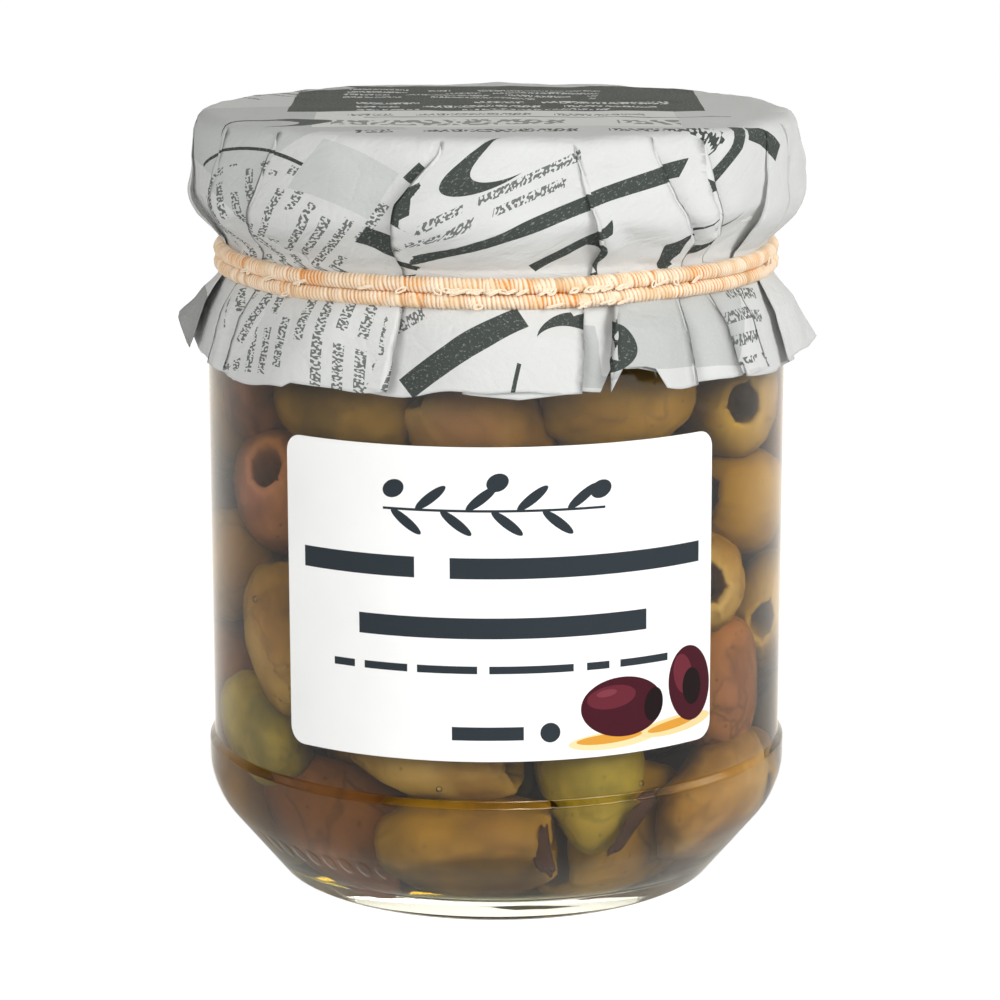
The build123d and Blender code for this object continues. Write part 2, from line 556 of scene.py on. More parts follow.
@dataclass
class OliveHeap:
    """All the olives in the jar: the ones that show in front, and those packed behind them."""

    jar: Jar
    seed: int = 11
    total: int = 84
    rounds: int = 160
    skin_gap: float = 0.1  # oil between the flesh and the glass
    lengths: Pair = (15.5, 18.5)
    widths: Pair = (11.8, 13.4)
    shares: tuple[int, int, int, int] = (2, 3, 4, 3)  # how common each kind is, in Ripeness order
    touch: float = 0.97  # share of two half widths at which olives start to push
    give: float = 0.03  # how far a placed olive moves for its share of a push
    push: float = 0.12  # share of an overlap that one round mends
    shown: list[Olive] = field(default_factory=list)

    def __post_init__(self) -> None:
        """List the olives that show round the label."""
        green, golden, tan, russet = Ripeness
        # In each olive below, the seventh value is painted light and shade: it makes the skin paler where the
        # olive shows more brightly lit, mostly at the right.
        self.shown = [
            Olive(-62, 58, (0.2, 0.1, 1), russet, 16.5, 12.4),
            Olive(-67, 46.5, (0.38, 0.75, 0.5), russet, 18.0, 13.4, 0.05),
            Olive(-37, 58.5, (1, -0.1, -0.1), golden, 18.0, 12.8, -0.1),
            Olive(-6, 57.5, (-0.75, 0.45, 0.5), tan, 17.5, 13.0, 0.05),
            Olive(25, 58.5, (1, 0.0, 0.12), golden, 18.5, 12.8, 0.15),
            Olive(77, 53, (-0.75, 0.65, 0.0), tan, 17.0, 13.6, 0.3),
            Olive(75, 43.5, (-0.95, -0.25, 0.2), golden, 17.5, 12.0, 0.45),
            Olive(67, 36.5, (-0.5, 0.6, 0.1), tan, 15.5, 12.0, 0.2),
            Olive(84, 30.5, (-0.9, 0.5, -0.1), tan, 16.0, 12.0, 0.2),
            Olive(66, 23.5, (-0.1, -0.3, 1), russet, 17.5, 12.4, 0.25),
            Olive(-65, 27, (-0.2, -0.1, 1), tan, 19.0, 13.5, 0.2),
            Olive(-79, 36, (-0.6, 0.1, -0.6), golden, 16.0, 12.0, 0.3),
            Olive(-63, 18, (-1, -0.3, 0.25), green, 18.0, 11.5, 0.1),
            Olive(-47, 9.0, (0.95, -0.38, -0.45), russet, 19.0, 11.8, 0.05),
            Olive(-13, 18, (1, 0.1, 0.0), tan, 19.5, 11.0),
            Olive(-6, 8.6, (1, 0.1, 0.05), golden, 20.5, 11.2, -0.2),
            Olive(22.5, 15.0, (-0.12, -0.25, 1), green, 17.5, 11.6, 0.2, 0.2),
            Olive(37, 8.2, (-0.95, 0.25, -0.2), tan, 18.5, 11.6, 0.6),
            Olive(60, 16.5, (0.95, 0.0, 0.3), tan, 18.5, 11.6, 0.1),
        ]

    def fill(self) -> list[Olive]:
        """Pack the jar: scatter the hidden olives and push all apart until they only press together."""
        draw = random.Random(self.seed)
        kinds = list(Ripeness)
        olives = list(self.shown)
        for olive in olives:
            olive.settle(self.jar)
        while len(olives) < self.total:
            height = draw.uniform(10, self.jar.fill_level - 6)
            radius = self.jar.inner_radius(height) * math.sqrt(draw.uniform(0, 0.72))
            azimuth = draw.uniform(0, 360)
            if radius > 16 and min(azimuth, 360 - azimuth) < 70:
                azimuth = draw.uniform(90, 270)
            olive = Olive(azimuth, height, (0, 0, 1), draw.choices(kinds, self.shares)[0], fixed=False)
            olive.length = draw.uniform(*self.lengths)
            olive.width = draw.uniform(*self.widths)
            olive.place = around(radius, azimuth, height)
            olive.axis = Vector([draw.gauss(0, 1) for _ in range(3)]).normalized()
            olives.append(olive)
        self.push_apart(olives)
        return olives

    def push_apart(self, olives: list[Olive]) -> None:
        """Move olives out of each other, the glass, the floor and the air.

        Args:
            olives: The olives, each taken as three balls along its axis.
        """
        places = np.array([olive.place for olive in olives])
        axes = np.array([olive.axis for olive in olives])
        radii = np.array([olive.width / 2 for olive in olives])
        reaches = np.array([(olive.length - olive.width) / 2 for olive in olives])
        loose = np.array([self.give if olive.fixed else 1.0 for olive in olives])
        for _ in range(self.rounds):
            shifts = np.zeros_like(places)
            for first in (-1, 0, 1):
                mine = places + axes * (reaches * first)[:, None]
                for second in (-1, 0, 1):
                    other = places + axes * (reaches * second)[:, None]
                    between = mine[:, None, :] - other[None, :, :]
                    gaps = np.linalg.norm(between, axis=2) + 1e-6
                    overlap = np.clip(self.touch * (radii[:, None] + radii[None, :]) - gaps, 0, None)
                    np.fill_diagonal(overlap, 0)
                    push = between / gaps[:, :, None] * overlap[:, :, None]
                    shifts += push.sum(axis=1) * self.push
                reach = np.hypot(mine[:, 0], mine[:, 1]) + 1e-6
                limit = np.array([self.jar.inner_radius(z) for z in mine[:, 2]]) - radii - 0.25
                excess = np.clip(reach - limit, 0, None)
                shifts[:, :2] -= mine[:, :2] / reach[:, None] * excess[:, None] * 0.5
                floor = self.jar.floor_thickness + radii + 0.6
                shifts[:, 2] += np.clip(floor - mine[:, 2], 0, None) * 0.5
                shifts[:, 2] -= np.clip(mine[:, 2] + radii + 0.5 - self.jar.fill_level, 0, None) * 0.5
            places += shifts * loose[:, None]
        for olive, place in zip(olives, places):
            olive.place = Vector(place)

    def build(self) -> list[bpy.types.Object]:
        """Make one piece for each kind of olive."""
        heaps = {kind: bmesh.new() for kind in Ripeness}
        for index, olive in enumerate(self.fill()):
            self.add_olive(heaps[olive.kind], olive, index)
        for azimuth, height, lean, length in TORN_SKINS:
            self.add_flake(heaps[Ripeness.RUSSET], azimuth, height, lean, length)
        pieces = []
        for kind, heap in heaps.items():
            material = OliveSkin(kind).material()
            pieces.append(make_piece(heap, kind.piece, [material], "olives_in_oil"))
        return pieces

    def add_olive(self, heap: bmesh.types.BMesh, olive: Olive, index: int) -> None:
        """Shape one pitted olive and put it in its heap.

        Args:
            heap: The joined shape of all olives of this kind.
            olive: The olive.
            index: Its number, from which its own lumps are drawn.
        """
        draw = random.Random(self.seed * 1000 + index)
        shape = bmesh.new()
        bmesh.ops.create_uvsphere(shape, u_segments=60, v_segments=32, radius=1)
        shift = Vector([draw.uniform(-50, 50) for _ in range(3)])
        lobes = draw.choice((7, 8, 9))
        hole = draw.uniform(2.0, 2.6)
        ripe = draw.uniform(0, 1)
        tint = shape.verts.layers.float_color.new("olive")
        slim = draw.uniform(0.04, 0.12)
        for vert in shape.verts:
            place, rim = self.on_olive(vert.co.copy(), olive, hole, slim)
            turn = math.atan2(place.y, place.x)
            # Cut by the pitter, the hole's edge is a star of little tears.
            tear = max(0.0, math.cos(lobes * turn + shift.x)) ** 4
            ragged = 0.5 + noise.noise(Vector((math.cos(turn) * 1.5, math.sin(turn) * 1.5, shift.z)))
            star = 1 + rim * (0.45 * tear * ragged + 0.18 * math.sin(2 * turn + shift.y) - 0.06)
            place.x *= star
            place.y *= star
            lumps = noise.noise(place * 0.13 + shift) * 0.9 + noise.noise(place * 0.32 + shift) * 0.28
            wrinkle = abs(noise.noise(Vector((place.x, place.y, place.z * 0.35)) * 0.8 + shift))
            place += place.normalized() * (lumps - 0.35 * wrinkle)
            # The shade level is random tone plus the olive's painted light and shade.
            shade = noise.noise(place * 0.09 - shift) * 0.5 + 0.5 + olive.bright
            flesh = max(rim, 0.7 if vert.co.z > 0.59 else 0.0)
            vert[tint] = (ripe, flesh, shade, 1)
            vert.co = place
        pose = olive.axis.to_track_quat("Z", "Y").to_matrix().to_4x4()
        spin = Matrix.Rotation(draw.uniform(0, math.tau), 4, "Z")
        bmesh.ops.transform(shape, matrix=Matrix.Translation(olive.place) @ pose @ spin, verts=shape.verts)
        for vert in shape.verts:
            self.press(vert.co)
        join(heap, shape)

    def press(self, spot: Vector) -> None:
        """Flatten the flesh against the glass at a point that would lie in it."""
        room = self.jar.inner_radius(spot.z) - self.skin_gap
        reach = spot.xy.length
        if reach > room:
            spot.xy *= room / reach

    def add_flake(
        self, heap: bmesh.types.BMesh, azimuth: float, height: float, lean: float, length: float
    ) -> None:
        """Add a dark, thin piece of torn skin that clings to the glass.

        Args:
            heap: The shape that it joins.
            azimuth: Where it lies, in degrees from the front.
            height: Its middle's height.
            lean: Degrees that its top leans to the left.
            length: Its length.
        """
        flake = bmesh.new()
        bmesh.ops.create_uvsphere(flake, u_segments=24, v_segments=16, radius=1)
        tint = flake.verts.layers.float_color.new("olive")
        for vert in flake.verts:
            ragged = 1 + 0.5 * noise.noise(vert.co * 1.8 + Vector((azimuth, 0, 0)))
            curl = 0.35 * math.sin(2 * vert.co.z + azimuth)
            tall = length / 2 * vert.co.z * ragged
            vert.co = Vector((0.9 * vert.co.x * ragged + curl, 0.22 * vert.co.y, tall))
            vert[tint] = (0, 0, -1, 1)
        spot = around(self.jar.inner_radius(height) - 0.5, azimuth, height)
        turn = Matrix.Rotation(math.radians(azimuth), 4, "Z") @ Matrix.Rotation(math.radians(-lean), 4, "Y")
        bmesh.ops.transform(flake, matrix=Matrix.Translation(spot) @ turn, verts=flake.verts)
        join(heap, flake)

    @staticmethod
    def on_olive(unit: Vector, olive: Olive, hole: float, slim: float) -> tuple[Vector, float]:
        """Carry a point of the unit ball onto a pitted olive whose hole faces +Z.

        Args:
            unit: The point on the unit ball.
            olive: The olive, for its length and width.
            hole: The hole's radius.
            slim: How much the far end is slimmer than the near one.

        Returns:
            The point in millimetres, and how near it is to the hole's edge, 0 to 1.
        """
        polar = math.acos(max(-1.0, min(1.0, unit.z))) / math.pi
        turn = math.atan2(unit.y, unit.x)
        half_width, half_length = olive.width / 2, olive.length / 2
        rim_share = 0.3
        rim_angle = math.asin(hole / half_width)
        if polar < rim_share:
            inward = 1 - polar / rim_share
            radius = hole * (1 - 0.1 * inward) * min(1.0, (polar / rim_share) * 6)
            height = half_length * math.cos(rim_angle) - min(1.0, inward * 1.2) * olive.length * 0.62
            rim = math.exp(-inward * 9)
        else:
            share = (polar - rim_share) / (1 - rim_share)
            angle = rim_angle + (math.pi - rim_angle) * share
            radius = half_width * math.sin(angle) * (1 + slim * math.cos(angle))
            height = half_length * math.cos(angle)
            rim = math.exp(-share * 14)
            height -= 0.35 * rim
            height += 0.7 * math.exp(-((math.pi - angle) ** 2) * 14)
        return Vector((radius * math.cos(turn), radius * math.sin(turn), height)), rim


@dataclass(frozen=True)
class OliveSkin:
    """Brined olive skin in oil: waxy, blotched and without shine, as oil bends light as it does."""

    kind: Ripeness

    def material(self) -> bpy.types.Material:
        """Build the skin: blotches, freckles, a paler cut edge and a dark hole."""
        middle, dark, pale = self.kind.skin
        material, tree, out = new_material(f"{self.kind.name.lower()}_olive_skin")
        place = add(tree, "TexCoord").outputs["Object"]
        own = add(tree, "VertexColor", layer_name="olive")
        parts = add(tree, "SeparateColor", {"Color": own.outputs["Color"]})
        blotch = add(tree, "TexNoise", {"Vector": place, "Scale": 170.0, "Detail": 3.0, "Roughness": 0.55})
        # The vertex shade level carries each olive's painted light and shade as well as its random tone.
        mixed = add(tree, "Math", {0: parts.outputs[2], 1: blotch.outputs[0]}, operation="ADD")
        level = add(tree, "Math", {0: mixed.outputs[0], 1: 0.5, 2: 0.0}, operation="MULTIPLY_ADD")
        even = ramp(tree, level.outputs[0], [(0.34, dark), (0.5, middle), (0.66, pale)])
        cloud = add(tree, "TexNoise", {"Vector": place, "Scale": 75.0, "Detail": 2.0})
        flushed = add(tree, "MapRange", {0: cloud.outputs[0], 1: 0.44, 2: 0.66, 3: 0.0, 4: 0.6})
        flush = add(tree, "Math", {0: flushed.outputs[0], 1: parts.outputs[0]}, operation="MULTIPLY")
        skin = blend(tree, flush.outputs[0], even, srgb("5e3822"))
        freckle = add(tree, "TexVoronoi", {"Vector": place, "Scale": 520.0})
        dots = add(tree, "Math", {0: freckle.outputs[0], 1: 0.13}, operation="LESS_THAN")
        spots = add(tree, "Math", {0: dots.outputs[0], 1: 0.45}, operation="MULTIPLY")
        spotted = add(
            tree,
            "Mix",
            {0: spots.outputs[0], 6: skin, 7: srgb(dark)},
            data_type="RGBA",
        )
        veined = add(
            tree,
            "Mix",
            {0: self.cracks(tree, place, cloud.outputs[0]), 6: spotted.outputs[2], 7: srgb(dark)},
            data_type="RGBA",
        )
        edge = add(
            tree,
            "Mix",
            {0: parts.outputs[1], 6: veined.outputs[2], 7: srgb(pale)},
            data_type="RGBA",
        )
        grain = add(tree, "TexNoise", {"Vector": place, "Scale": 160.0, "Detail": 2.0})
        bump = add(tree, "Bump", {"Height": grain.outputs[0], "Strength": 0.12, "Distance": 0.0004})
        skin_shader = add(
            tree,
            "BsdfPrincipled",
            {
                "Base Color": edge.outputs[2],
                "Roughness": 0.6,
                "Specular IOR Level": 0.1,
                "Normal": bump.outputs[0],
            },
        )
        tree.links.new(skin_shader.outputs[0], out.inputs["Surface"])
        return material

    @staticmethod
    def cracks(tree: bpy.types.NodeTree, place: Socket, cloud: Socket) -> Socket:
        """How dark the fine wrinkles are that run over parts of the skin.

        Args:
            tree: The node tree.
            place: Place on the olives.
            cloud: Slow noise that picks the wrinkled parts.

        Returns:
            The share of dark colour, 0 to 0.5.
        """
        wobble = add(tree, "TexNoise", {"Vector": place, "Scale": 300.0, "Detail": 2.0})
        size = (0.006, 0.006, 0.006)
        bent = add(
            tree, "VectorMath", {0: wobble.outputs["Color"], 1: size, 2: place}, operation="MULTIPLY_ADD"
        )
        spread = {"Vector": bent.outputs[0], "Scale": 120.0}
        cells = add(tree, "TexVoronoi", spread, feature="DISTANCE_TO_EDGE")
        edge = cells.outputs["Distance"]
        line = add(tree, "MapRange", {0: edge, 1: 0.0, 2: 0.06, 3: 0.5, 4: 0.0}).outputs[0]
        shown = add(tree, "MapRange", {0: cloud, 1: 0.47, 2: 0.6}).outputs[0]
        return calc(tree, "MULTIPLY", line, shown)


@dataclass
class AirBubbles:
    """A few air bubbles that cling to the inside of the glass."""

    jar: Jar
    count: int = 9
    seed: int = 21

    def build(self) -> bpy.types.Object:
        """Make the bubbles, the first two where they show in front."""
        draw = random.Random(self.seed)
        shape = bmesh.new()
        spots = [(-58.0, 35.0, 0.42), (-11.5, 17.0, 0.38)]
        while len(spots) < self.count:
            spots.append((draw.uniform(-180, 180), draw.uniform(12, 78), draw.uniform(0.2, 0.4)))
        for azimuth, height, radius in spots:
            place = around(self.jar.inner_radius(height) - radius - 0.05, azimuth, height)
            matrix = Matrix.Translation(place)
            bmesh.ops.create_uvsphere(shape, u_segments=16, v_segments=10, radius=radius, matrix=matrix)
        material = Bubble().material()
        return make_piece(shape, "air_bubbles", [material], "olives_in_oil")


@dataclass(frozen=True)
class Bubble:
    """Air in oil: a tiny clear ball with a bright rim."""

    ior: float = 0.68

    def material(self) -> bpy.types.Material:
        """Build the bubble."""
        material, tree, out = new_material("air_in_oil")
        air = add(
            tree,
            "BsdfPrincipled",
            {"Base Color": srgb("ffffff"), "Roughness": 0.0, "IOR": self.ior, "Transmission Weight": 1.0},
        )
        tree.links.new(clear_for_light(tree, air.outputs[0], "ffffff"), out.inputs["Surface"])
        return material


# ------------------------------------------------------------------ print
class Mark(Enum):
    """Plain shapes that all the print is made of."""

    BOX = "box"
    DISC = "disc"
    CRESCENT = "crescent"
    ROWS = "rows"


@dataclass(frozen=True)
class Spot:
    """One printed mark on a flat sheet, in millimetres: x to the right and y up the sheet."""

    mark: Mark
    x: float
    y: float
    turn: float  # degrees, anticlockwise
    wide: float  # half of its width
    high: float  # half of its height
    ink: str
    pitch: float = 2.6  # of the rows

    def mask(self, tree: bpy.types.NodeTree, sheet: Socket) -> Socket:
        """Where the mark prints.

        Args:
            tree: The node tree.
            sheet: Flat place on the sheet in millimetres.

        Returns:
            1 on the mark, else 0.
        """
        local = add(
            tree,
            "Mapping",
            {
                "Vector": sheet,
                "Location": (self.x, self.y, 0),
                "Rotation": (0, 0, math.radians(self.turn)),
                "Scale": (self.wide, self.high, 1),
            },
            vector_type="TEXTURE",
        ).outputs[0]
        if self.mark in (Mark.DISC, Mark.CRESCENT):
            far = add(tree, "VectorMath", {0: local}, operation="LENGTH").outputs["Value"]
            inside = calc(tree, "LESS_THAN", far, 1.0)
            if self.mark is Mark.DISC:
                return inside
            moved = add(tree, "VectorMath", {0: local, 1: (0.42, 0.12, 0)}, operation="ADD").outputs[0]
            near = add(tree, "VectorMath", {0: moved}, operation="LENGTH").outputs["Value"]
            outside = calc(tree, "GREATER_THAN", near, 0.9)
            return calc(tree, "MULTIPLY", inside, outside)
        size = add(tree, "VectorMath", {0: local}, operation="ABSOLUTE").outputs[0]
        parts = add(tree, "SeparateXYZ", {0: size})
        most = add(tree, "Math", {0: parts.outputs[0], 1: parts.outputs[1]}, operation="MAXIMUM")
        inside = calc(tree, "LESS_THAN", most.outputs[0], 1.0)
        if self.mark is Mark.BOX:
            return inside
        return self.rows(tree, local, inside)

    def rows(self, tree: bpy.types.NodeTree, local: Socket, inside: Socket) -> Socket:
        """Break a box into rows of short dashes, as close print looks when it can't be read.

        Args:
            tree: The node tree.
            local: Place in the box, from -1 to 1.
            inside: 1 in the box.

        Returns:
            1 on the dashes.
        """
        axes = add(tree, "SeparateXYZ", {0: local})
        scaled = {0: axes.outputs[1], 1: self.high / self.pitch, 2: 0.5}
        row = add(tree, "Math", scaled, operation="MULTIPLY_ADD")
        place = add(tree, "Math", {0: row.outputs[0]}, operation="FRACT")
        inked = add(tree, "Math", {0: place.outputs[0], 1: 0.5}, operation="LESS_THAN")
        number = add(tree, "Math", {0: row.outputs[0]}, operation="FLOOR")
        seed = add(tree, "Math", {0: number.outputs[0], 1: 7.31}, operation="MULTIPLY")
        along = add(tree, "Math", {0: axes.outputs[0], 1: self.wide / self.pitch}, operation="MULTIPLY")
        spread = add(tree, "CombineXYZ", {0: along.outputs[0], 1: seed.outputs[0]})
        size = (4.6 * self.wide / self.pitch, 2.2 * self.high / self.pitch, 1)
        marks = add(tree, "VectorMath", {0: local, 1: size}, operation="MULTIPLY")
        words = add(tree, "TexNoise", {"Vector": spread.outputs[0], "Scale": 0.6, "Detail": 0.0})
        word = add(tree, "Math", {0: words.outputs[0], 1: 0.4}, operation="GREATER_THAN")
        fine = add(tree, "TexNoise", {"Vector": marks.outputs[0], "Scale": 2.3, "Detail": 0.0})
        stroke = add(tree, "Math", {0: fine.outputs[0], 1: 0.49}, operation="GREATER_THAN")
        dashes = add(tree, "Math", {0: word.outputs[0], 1: stroke.outputs[0]}, operation="MULTIPLY")
        rows = add(tree, "Math", {0: dashes.outputs[0], 1: inked.outputs[0]}, operation="MULTIPLY")
        return calc(tree, "MULTIPLY", rows.outputs[0], inside)


def printed(tree: bpy.types.NodeTree, sheet: Socket, base: Socket, spots: list[Spot]) -> Socket:
    """Print marks over a base colour, each over the ones before it."""
    for spot in spots:
        mask = spot.mask(tree, sheet)
        base = blend(tree, mask, base, srgb(spot.ink))
    return base


# ------------------------------------------------------------------ paper cover
class Lap(Enum):
    """Which panel lies on top at a pleat."""

    LEFT = 0
    RIGHT = 1


@dataclass(frozen=True)
class Pleat:
    """One knife pleat: its azimuth at each of the cover's stations, and how it laps."""

    route: tuple[float, ...]
    above: Lap
    below: Lap
    weight_above: float = 1.0
    weight_below: float = 1.0


@dataclass
class PaperCover:
    """A round sheet of printed paper, folded down over the lid and gathered by the elastic."""

    paper: float = 0.1
    rim: float = 32.0
    stations: tuple[float, ...] = (34.5, 40.0, 45.0, 49.0, 55.0, 62.0)
    band: Pair = (48.6, 51.4)
    hem: float = 61.6
    rows: int = 92
    panel_step: float = 0.95
    pleats: list[Pleat] = field(default_factory=list)
    outline: np.ndarray = field(init=False)

    def __post_init__(self) -> None:
        """List the pleats from the left of the back round to its right, and smooth the outline."""
        left, right = Lap.LEFT, Lap.RIGHT

        def straight(azimuth: float, lap: Lap, lean: float = 0.0, other: Lap | None = None) -> Pleat:
            """A pleat that leans evenly down the cover."""
            route = tuple(azimuth + lean * share for share in (-1.0, -0.5, 0.0, 0.2, 0.0, -0.3))
            return Pleat(route, lap, other or lap)

        self.pleats = self.pleats or [
            straight(-165, right, 2.5),
            straight(-147, left, -3, right),
            straight(-129, left, 2),
            straight(-111, right, 3),
            straight(-94, right, -3, left),
            straight(-79, left, 2),
            Pleat((-60, -63, -66, -66.5, -65.5, -64.5), right, right, 1.0, 0.8),
            Pleat((-44, -48, -53, -56, -57, -58), right, right),
            Pleat((-10, -17.5, -19, -18.5, -18.5, -19.7), right, left),
            Pleat((14, 16.5, 20, 19, 16, 14.3), right, left),
            Pleat((19, 21, 26, 25, 22.5, 20.5), right, right, 0.0, 1.0),
            Pleat((29.5, 33.5, 40, 40, 38, 37.5), left, left, 1.0, 0.35),
            Pleat((41, 43, 45.5, 46.5, 48, 49), left, left),
            straight(57, right, -2.5, left),
            Pleat((70, 70, 70.5, 70, 69, 68), left, right),
            straight(87, left, 2),
            straight(104, right, -3),
            straight(122, left, 3, right),
            straight(140, right, 2),
            straight(160, left, -3),
        ]
        corners = [
            Corner(0, 88.3),
            Corner(32.2, 88.2),
            Corner(33.5, 87.8),
            Corner(34.0, 86.4),
            Corner(34.0, 79.3),
            Corner(30.65, 74.3),
            Corner(30.6, 70.8),
            Corner(32.4, 66.6),
            Corner(34.1, 60.9),
            Corner(34.9, 57.0),
        ]
        points = np.array([(corner.radius, corner.height) for corner in corners])
        lengths = np.concatenate(([0], np.cumsum(np.hypot(*np.diff(points, axis=0).T))))
        fine = np.arange(0, lengths[-1], 0.2)
        dense = np.array([np.interp(fine, lengths, points[:, axis]) for axis in (0, 1)])
        window = np.hanning(11)[1:-1]
        padded = np.pad(dense, ((0, 0), (4, 4)), mode="edge")
        smooth = np.array([np.convolve(axis, window / window.sum(), "valid") for axis in padded])
        smooth[0, 0] = 0
        walk = np.concatenate(([0], np.cumsum(np.hypot(*np.diff(smooth)))))
        slope = np.gradient(smooth, walk, axis=1)
        self.outline = np.vstack([walk, smooth, -slope[1], slope[0]])

    def at(self, walk: float) -> tuple[float, float, float, float]:
        """Radius, height and outward normal of the cover at a distance from its middle."""
        return tuple(float(np.interp(walk, self.outline[0], row)) for row in self.outline[1:])

    def rise(self, walk: float) -> float:
        """How far apart the layers of a pleat lie."""
        walks = (32.5, 37, 44, 48, 52, 56, 62)
        return float(np.interp(walk, walks, (0.0, 0.34, 0.5, 0.16, 0.16, 0.55, 0.65)))

    def hem_at(self, azimuth: float, turn: float) -> float:
        """Distance from the middle at which the sheet was cut by hand.

        Args:
            azimuth: Azimuth on the jar in degrees.
            turn: Azimuth on the flat sheet in radians.

        Returns:
            The distance in millimetres.
        """
        cut = self.hem + 0.6 * noise.noise(Vector((math.cos(turn) * 3, math.sin(turn) * 3, 5)))
        cut += 0.9 * noise.noise(Vector((math.cos(turn) * 9, math.sin(turn) * 9, 2)))
        if 20.3 < azimuth < 29.6:
            cut -= 2.4 - 0.1 * (azimuth - 20)
        elif 29.6 <= azimuth < 66:
            cut += 0.2
        if -57.5 < azimuth < -39:
            cut += 0.5
        cut -= 2.4 * math.exp(-(((azimuth + 92) / 8) ** 2))
        return cut - 0.4 * math.exp(-(((azimuth - 84) / 5) ** 2))

    def widths(self, walk: float, azimuths: np.ndarray) -> np.ndarray:
        """How wide the overlap of each pleat is.

        Args:
            walk: Distance from the sheet's middle.
            azimuths: Azimuth of each pleat there.

        Returns:
            The widths in millimetres. Together they take up all the spare paper.
        """
        radius = self.at(walk)[0]
        spare = max(0.0, math.tau * (walk - radius)) if walk > self.rim else 0.0
        below = float(np.interp(walk, self.band, (0, 1)))
        toward = np.array([self.side(pleat, below) for pleat in self.pleats])
        weights = np.array(
            [pleat.weight_above * (1 - below) + pleat.weight_below * below for pleat in self.pleats]
        )
        spans = np.diff(np.append(azimuths, azimuths[0] + 360))
        before = np.roll(spans, 1)
        from_left = (1 - toward) * before
        from_right = toward * spans
        shared = np.roll(toward * weights, 1) * ((1 - toward) * weights)
        from_left = from_left * (1 - 0.5 * np.clip(shared, 0, 1))
        from_right = from_right * (1 - 0.5 * np.clip(np.roll(shared, -1), 0, 1))
        room = (from_left + from_right) * weights
        return room / room.sum() * spare / 2

    @staticmethod
    def side(pleat: Pleat, below: float) -> float:
        """0 where the left panel is on top, 1 where the right one is, between within the band."""
        return pleat.above.value * (1 - below) + pleat.below.value * below

    def row_walks(self) -> np.ndarray:
        """Distances of the rows from the middle, closer where the sheet turns. The last is the hem."""
        spots = (0, 0.12, 0.22, 0.6, 0.7, 1)
        walks = (0.3, 31.0, 36.5, 48.4, 52.0, self.hem)
        return np.interp(np.linspace(0, 1, self.rows), spots, walks)

    def columns(self) -> list[tuple[int, int, float]]:
        """Columns of the sheet: the pleat or panel that each belongs to and its place there.

        Returns:
            A list of (kind, index, share): kind 0 is a pleat's layers and 1 the panel after it.
        """
        found = []
        azimuths = np.array([pleat.route[3] for pleat in self.pleats])
        spans = np.diff(np.append(azimuths, azimuths[0] + 360))
        for index, span in enumerate(spans):
            found += [(0, index, share) for share in (0, 0.08, 0.5, 0.92, 1, 1.08, 1.5, 1.92, 2)]
            count = max(3, round(math.radians(span) * 34 / self.panel_step))
            found += [(1, index, step / count) for step in range(1, count)]
        return [*found, (0, len(self.pleats), 0)]

    def build(self) -> bpy.types.Object:
        """Make the cover: a grid of rows and columns is laid out as the folded sheet."""
        columns, walks = self.columns(), self.row_walks()
        shape = bmesh.new()
        bmesh.ops.create_grid(shape, x_segments=len(columns) - 1, y_segments=self.rows - 1, size=0.5)
        shape.verts.ensure_lookup_table()
        flat = shape.loops.layers.uv.new("sheet")
        places: list[Pair] = []
        for row, walk in enumerate(walks):
            spots = self.lay_row(float(walk), columns)
            for column, (spot, place) in enumerate(spots):
                shape.verts[row * len(columns) + column].co = spot
                places.append(place)
        for face in shape.faces:
            for loop in face.loops:
                loop[flat].uv = places[loop.vert.index]
        bmesh.ops.remove_doubles(shape, verts=shape.verts, dist=0.004)
        rim = [edge for edge in shape.edges if edge.is_boundary and edge.verts[0].co.xy.length < 1]
        bmesh.ops.holes_fill(shape, edges=rim, sides=0)
        bmesh.ops.recalc_face_normals(shape, faces=shape.faces)
        top = max(shape.faces, key=lambda face: face.calc_center_median().z)
        if top.normal.z < 0:
            bmesh.ops.reverse_faces(shape, faces=shape.faces)
        piece = make_piece(shape, "gathered_paper", [Newsprint().material()], "paper_cover")
        wall = piece.modifiers.new("paper_thickness", "SOLIDIFY")
        wall.thickness = self.paper * MM
        wall.offset = -1
        return piece

    def lay_row(self, walk: float, columns: list[tuple[int, int, float]]) -> list[tuple[Vector, Pair]]:
        """Lay one ring of the sheet, pleat by pleat.

        Args:
            walk: The ring's distance from the middle of the flat sheet.
            columns: The sheet's columns.

        Returns:
            For each column, its place on the jar and its place on the flat sheet.
        """
        last = len(self.pleats)
        azimuths = np.array([np.interp(walk, self.stations, pleat.route) for pleat in self.pleats])
        straightness = float(np.interp(walk, (8, self.rim), (0, 1)))
        even = np.array([pleat.route[0] for pleat in self.pleats])
        azimuths = even + (azimuths - even) * straightness
        widths = self.widths(walk, azimuths)
        azimuths = np.append(azimuths, azimuths[0] + 360)
        widths = np.append(widths, widths[0])
        radius = self.at(walk)[0]
        below = float(np.interp(walk, self.band, (0, 1)))
        sides = np.array([self.side(pleat, below) for pleat in self.pleats])
        sides = np.append(sides, sides[0])
        rise = self.rise(walk)
        starts = [0.0]
        for index in range(last):
            panel = math.radians(azimuths[index + 1] - azimuths[index]) * radius
            starts.append(starts[-1] + 2 * widths[index] + panel)
        scale = math.tau * walk / starts[-1] if starts[-1] else 1.0
        whole = starts[-1]
        laid = []
        for kind, index, share in columns:
            width, side = widths[index], sides[index]
            lift = min(1.0, width / 0.8) * rise
            if kind == 0:
                arc = starts[index] + share * width
                shift, level = self.layers(share, width, side, lift)
                azimuth = azimuths[index] + math.degrees(shift / radius) if radius > 1 else azimuths[index]
                bulge = 0.0
            else:
                panel = math.radians(azimuths[index + 1] - azimuths[index]) * radius
                arc = starts[index] + 2 * width + share * panel
                azimuth = azimuths[index] + share * (azimuths[index + 1] - azimuths[index])
                level = self.panel_level(share * panel, width, side * lift, panel)
                next_lift = min(1.0, widths[index + 1] / 0.8) * rise
                on_left = (1 - sides[index + 1]) * next_lift
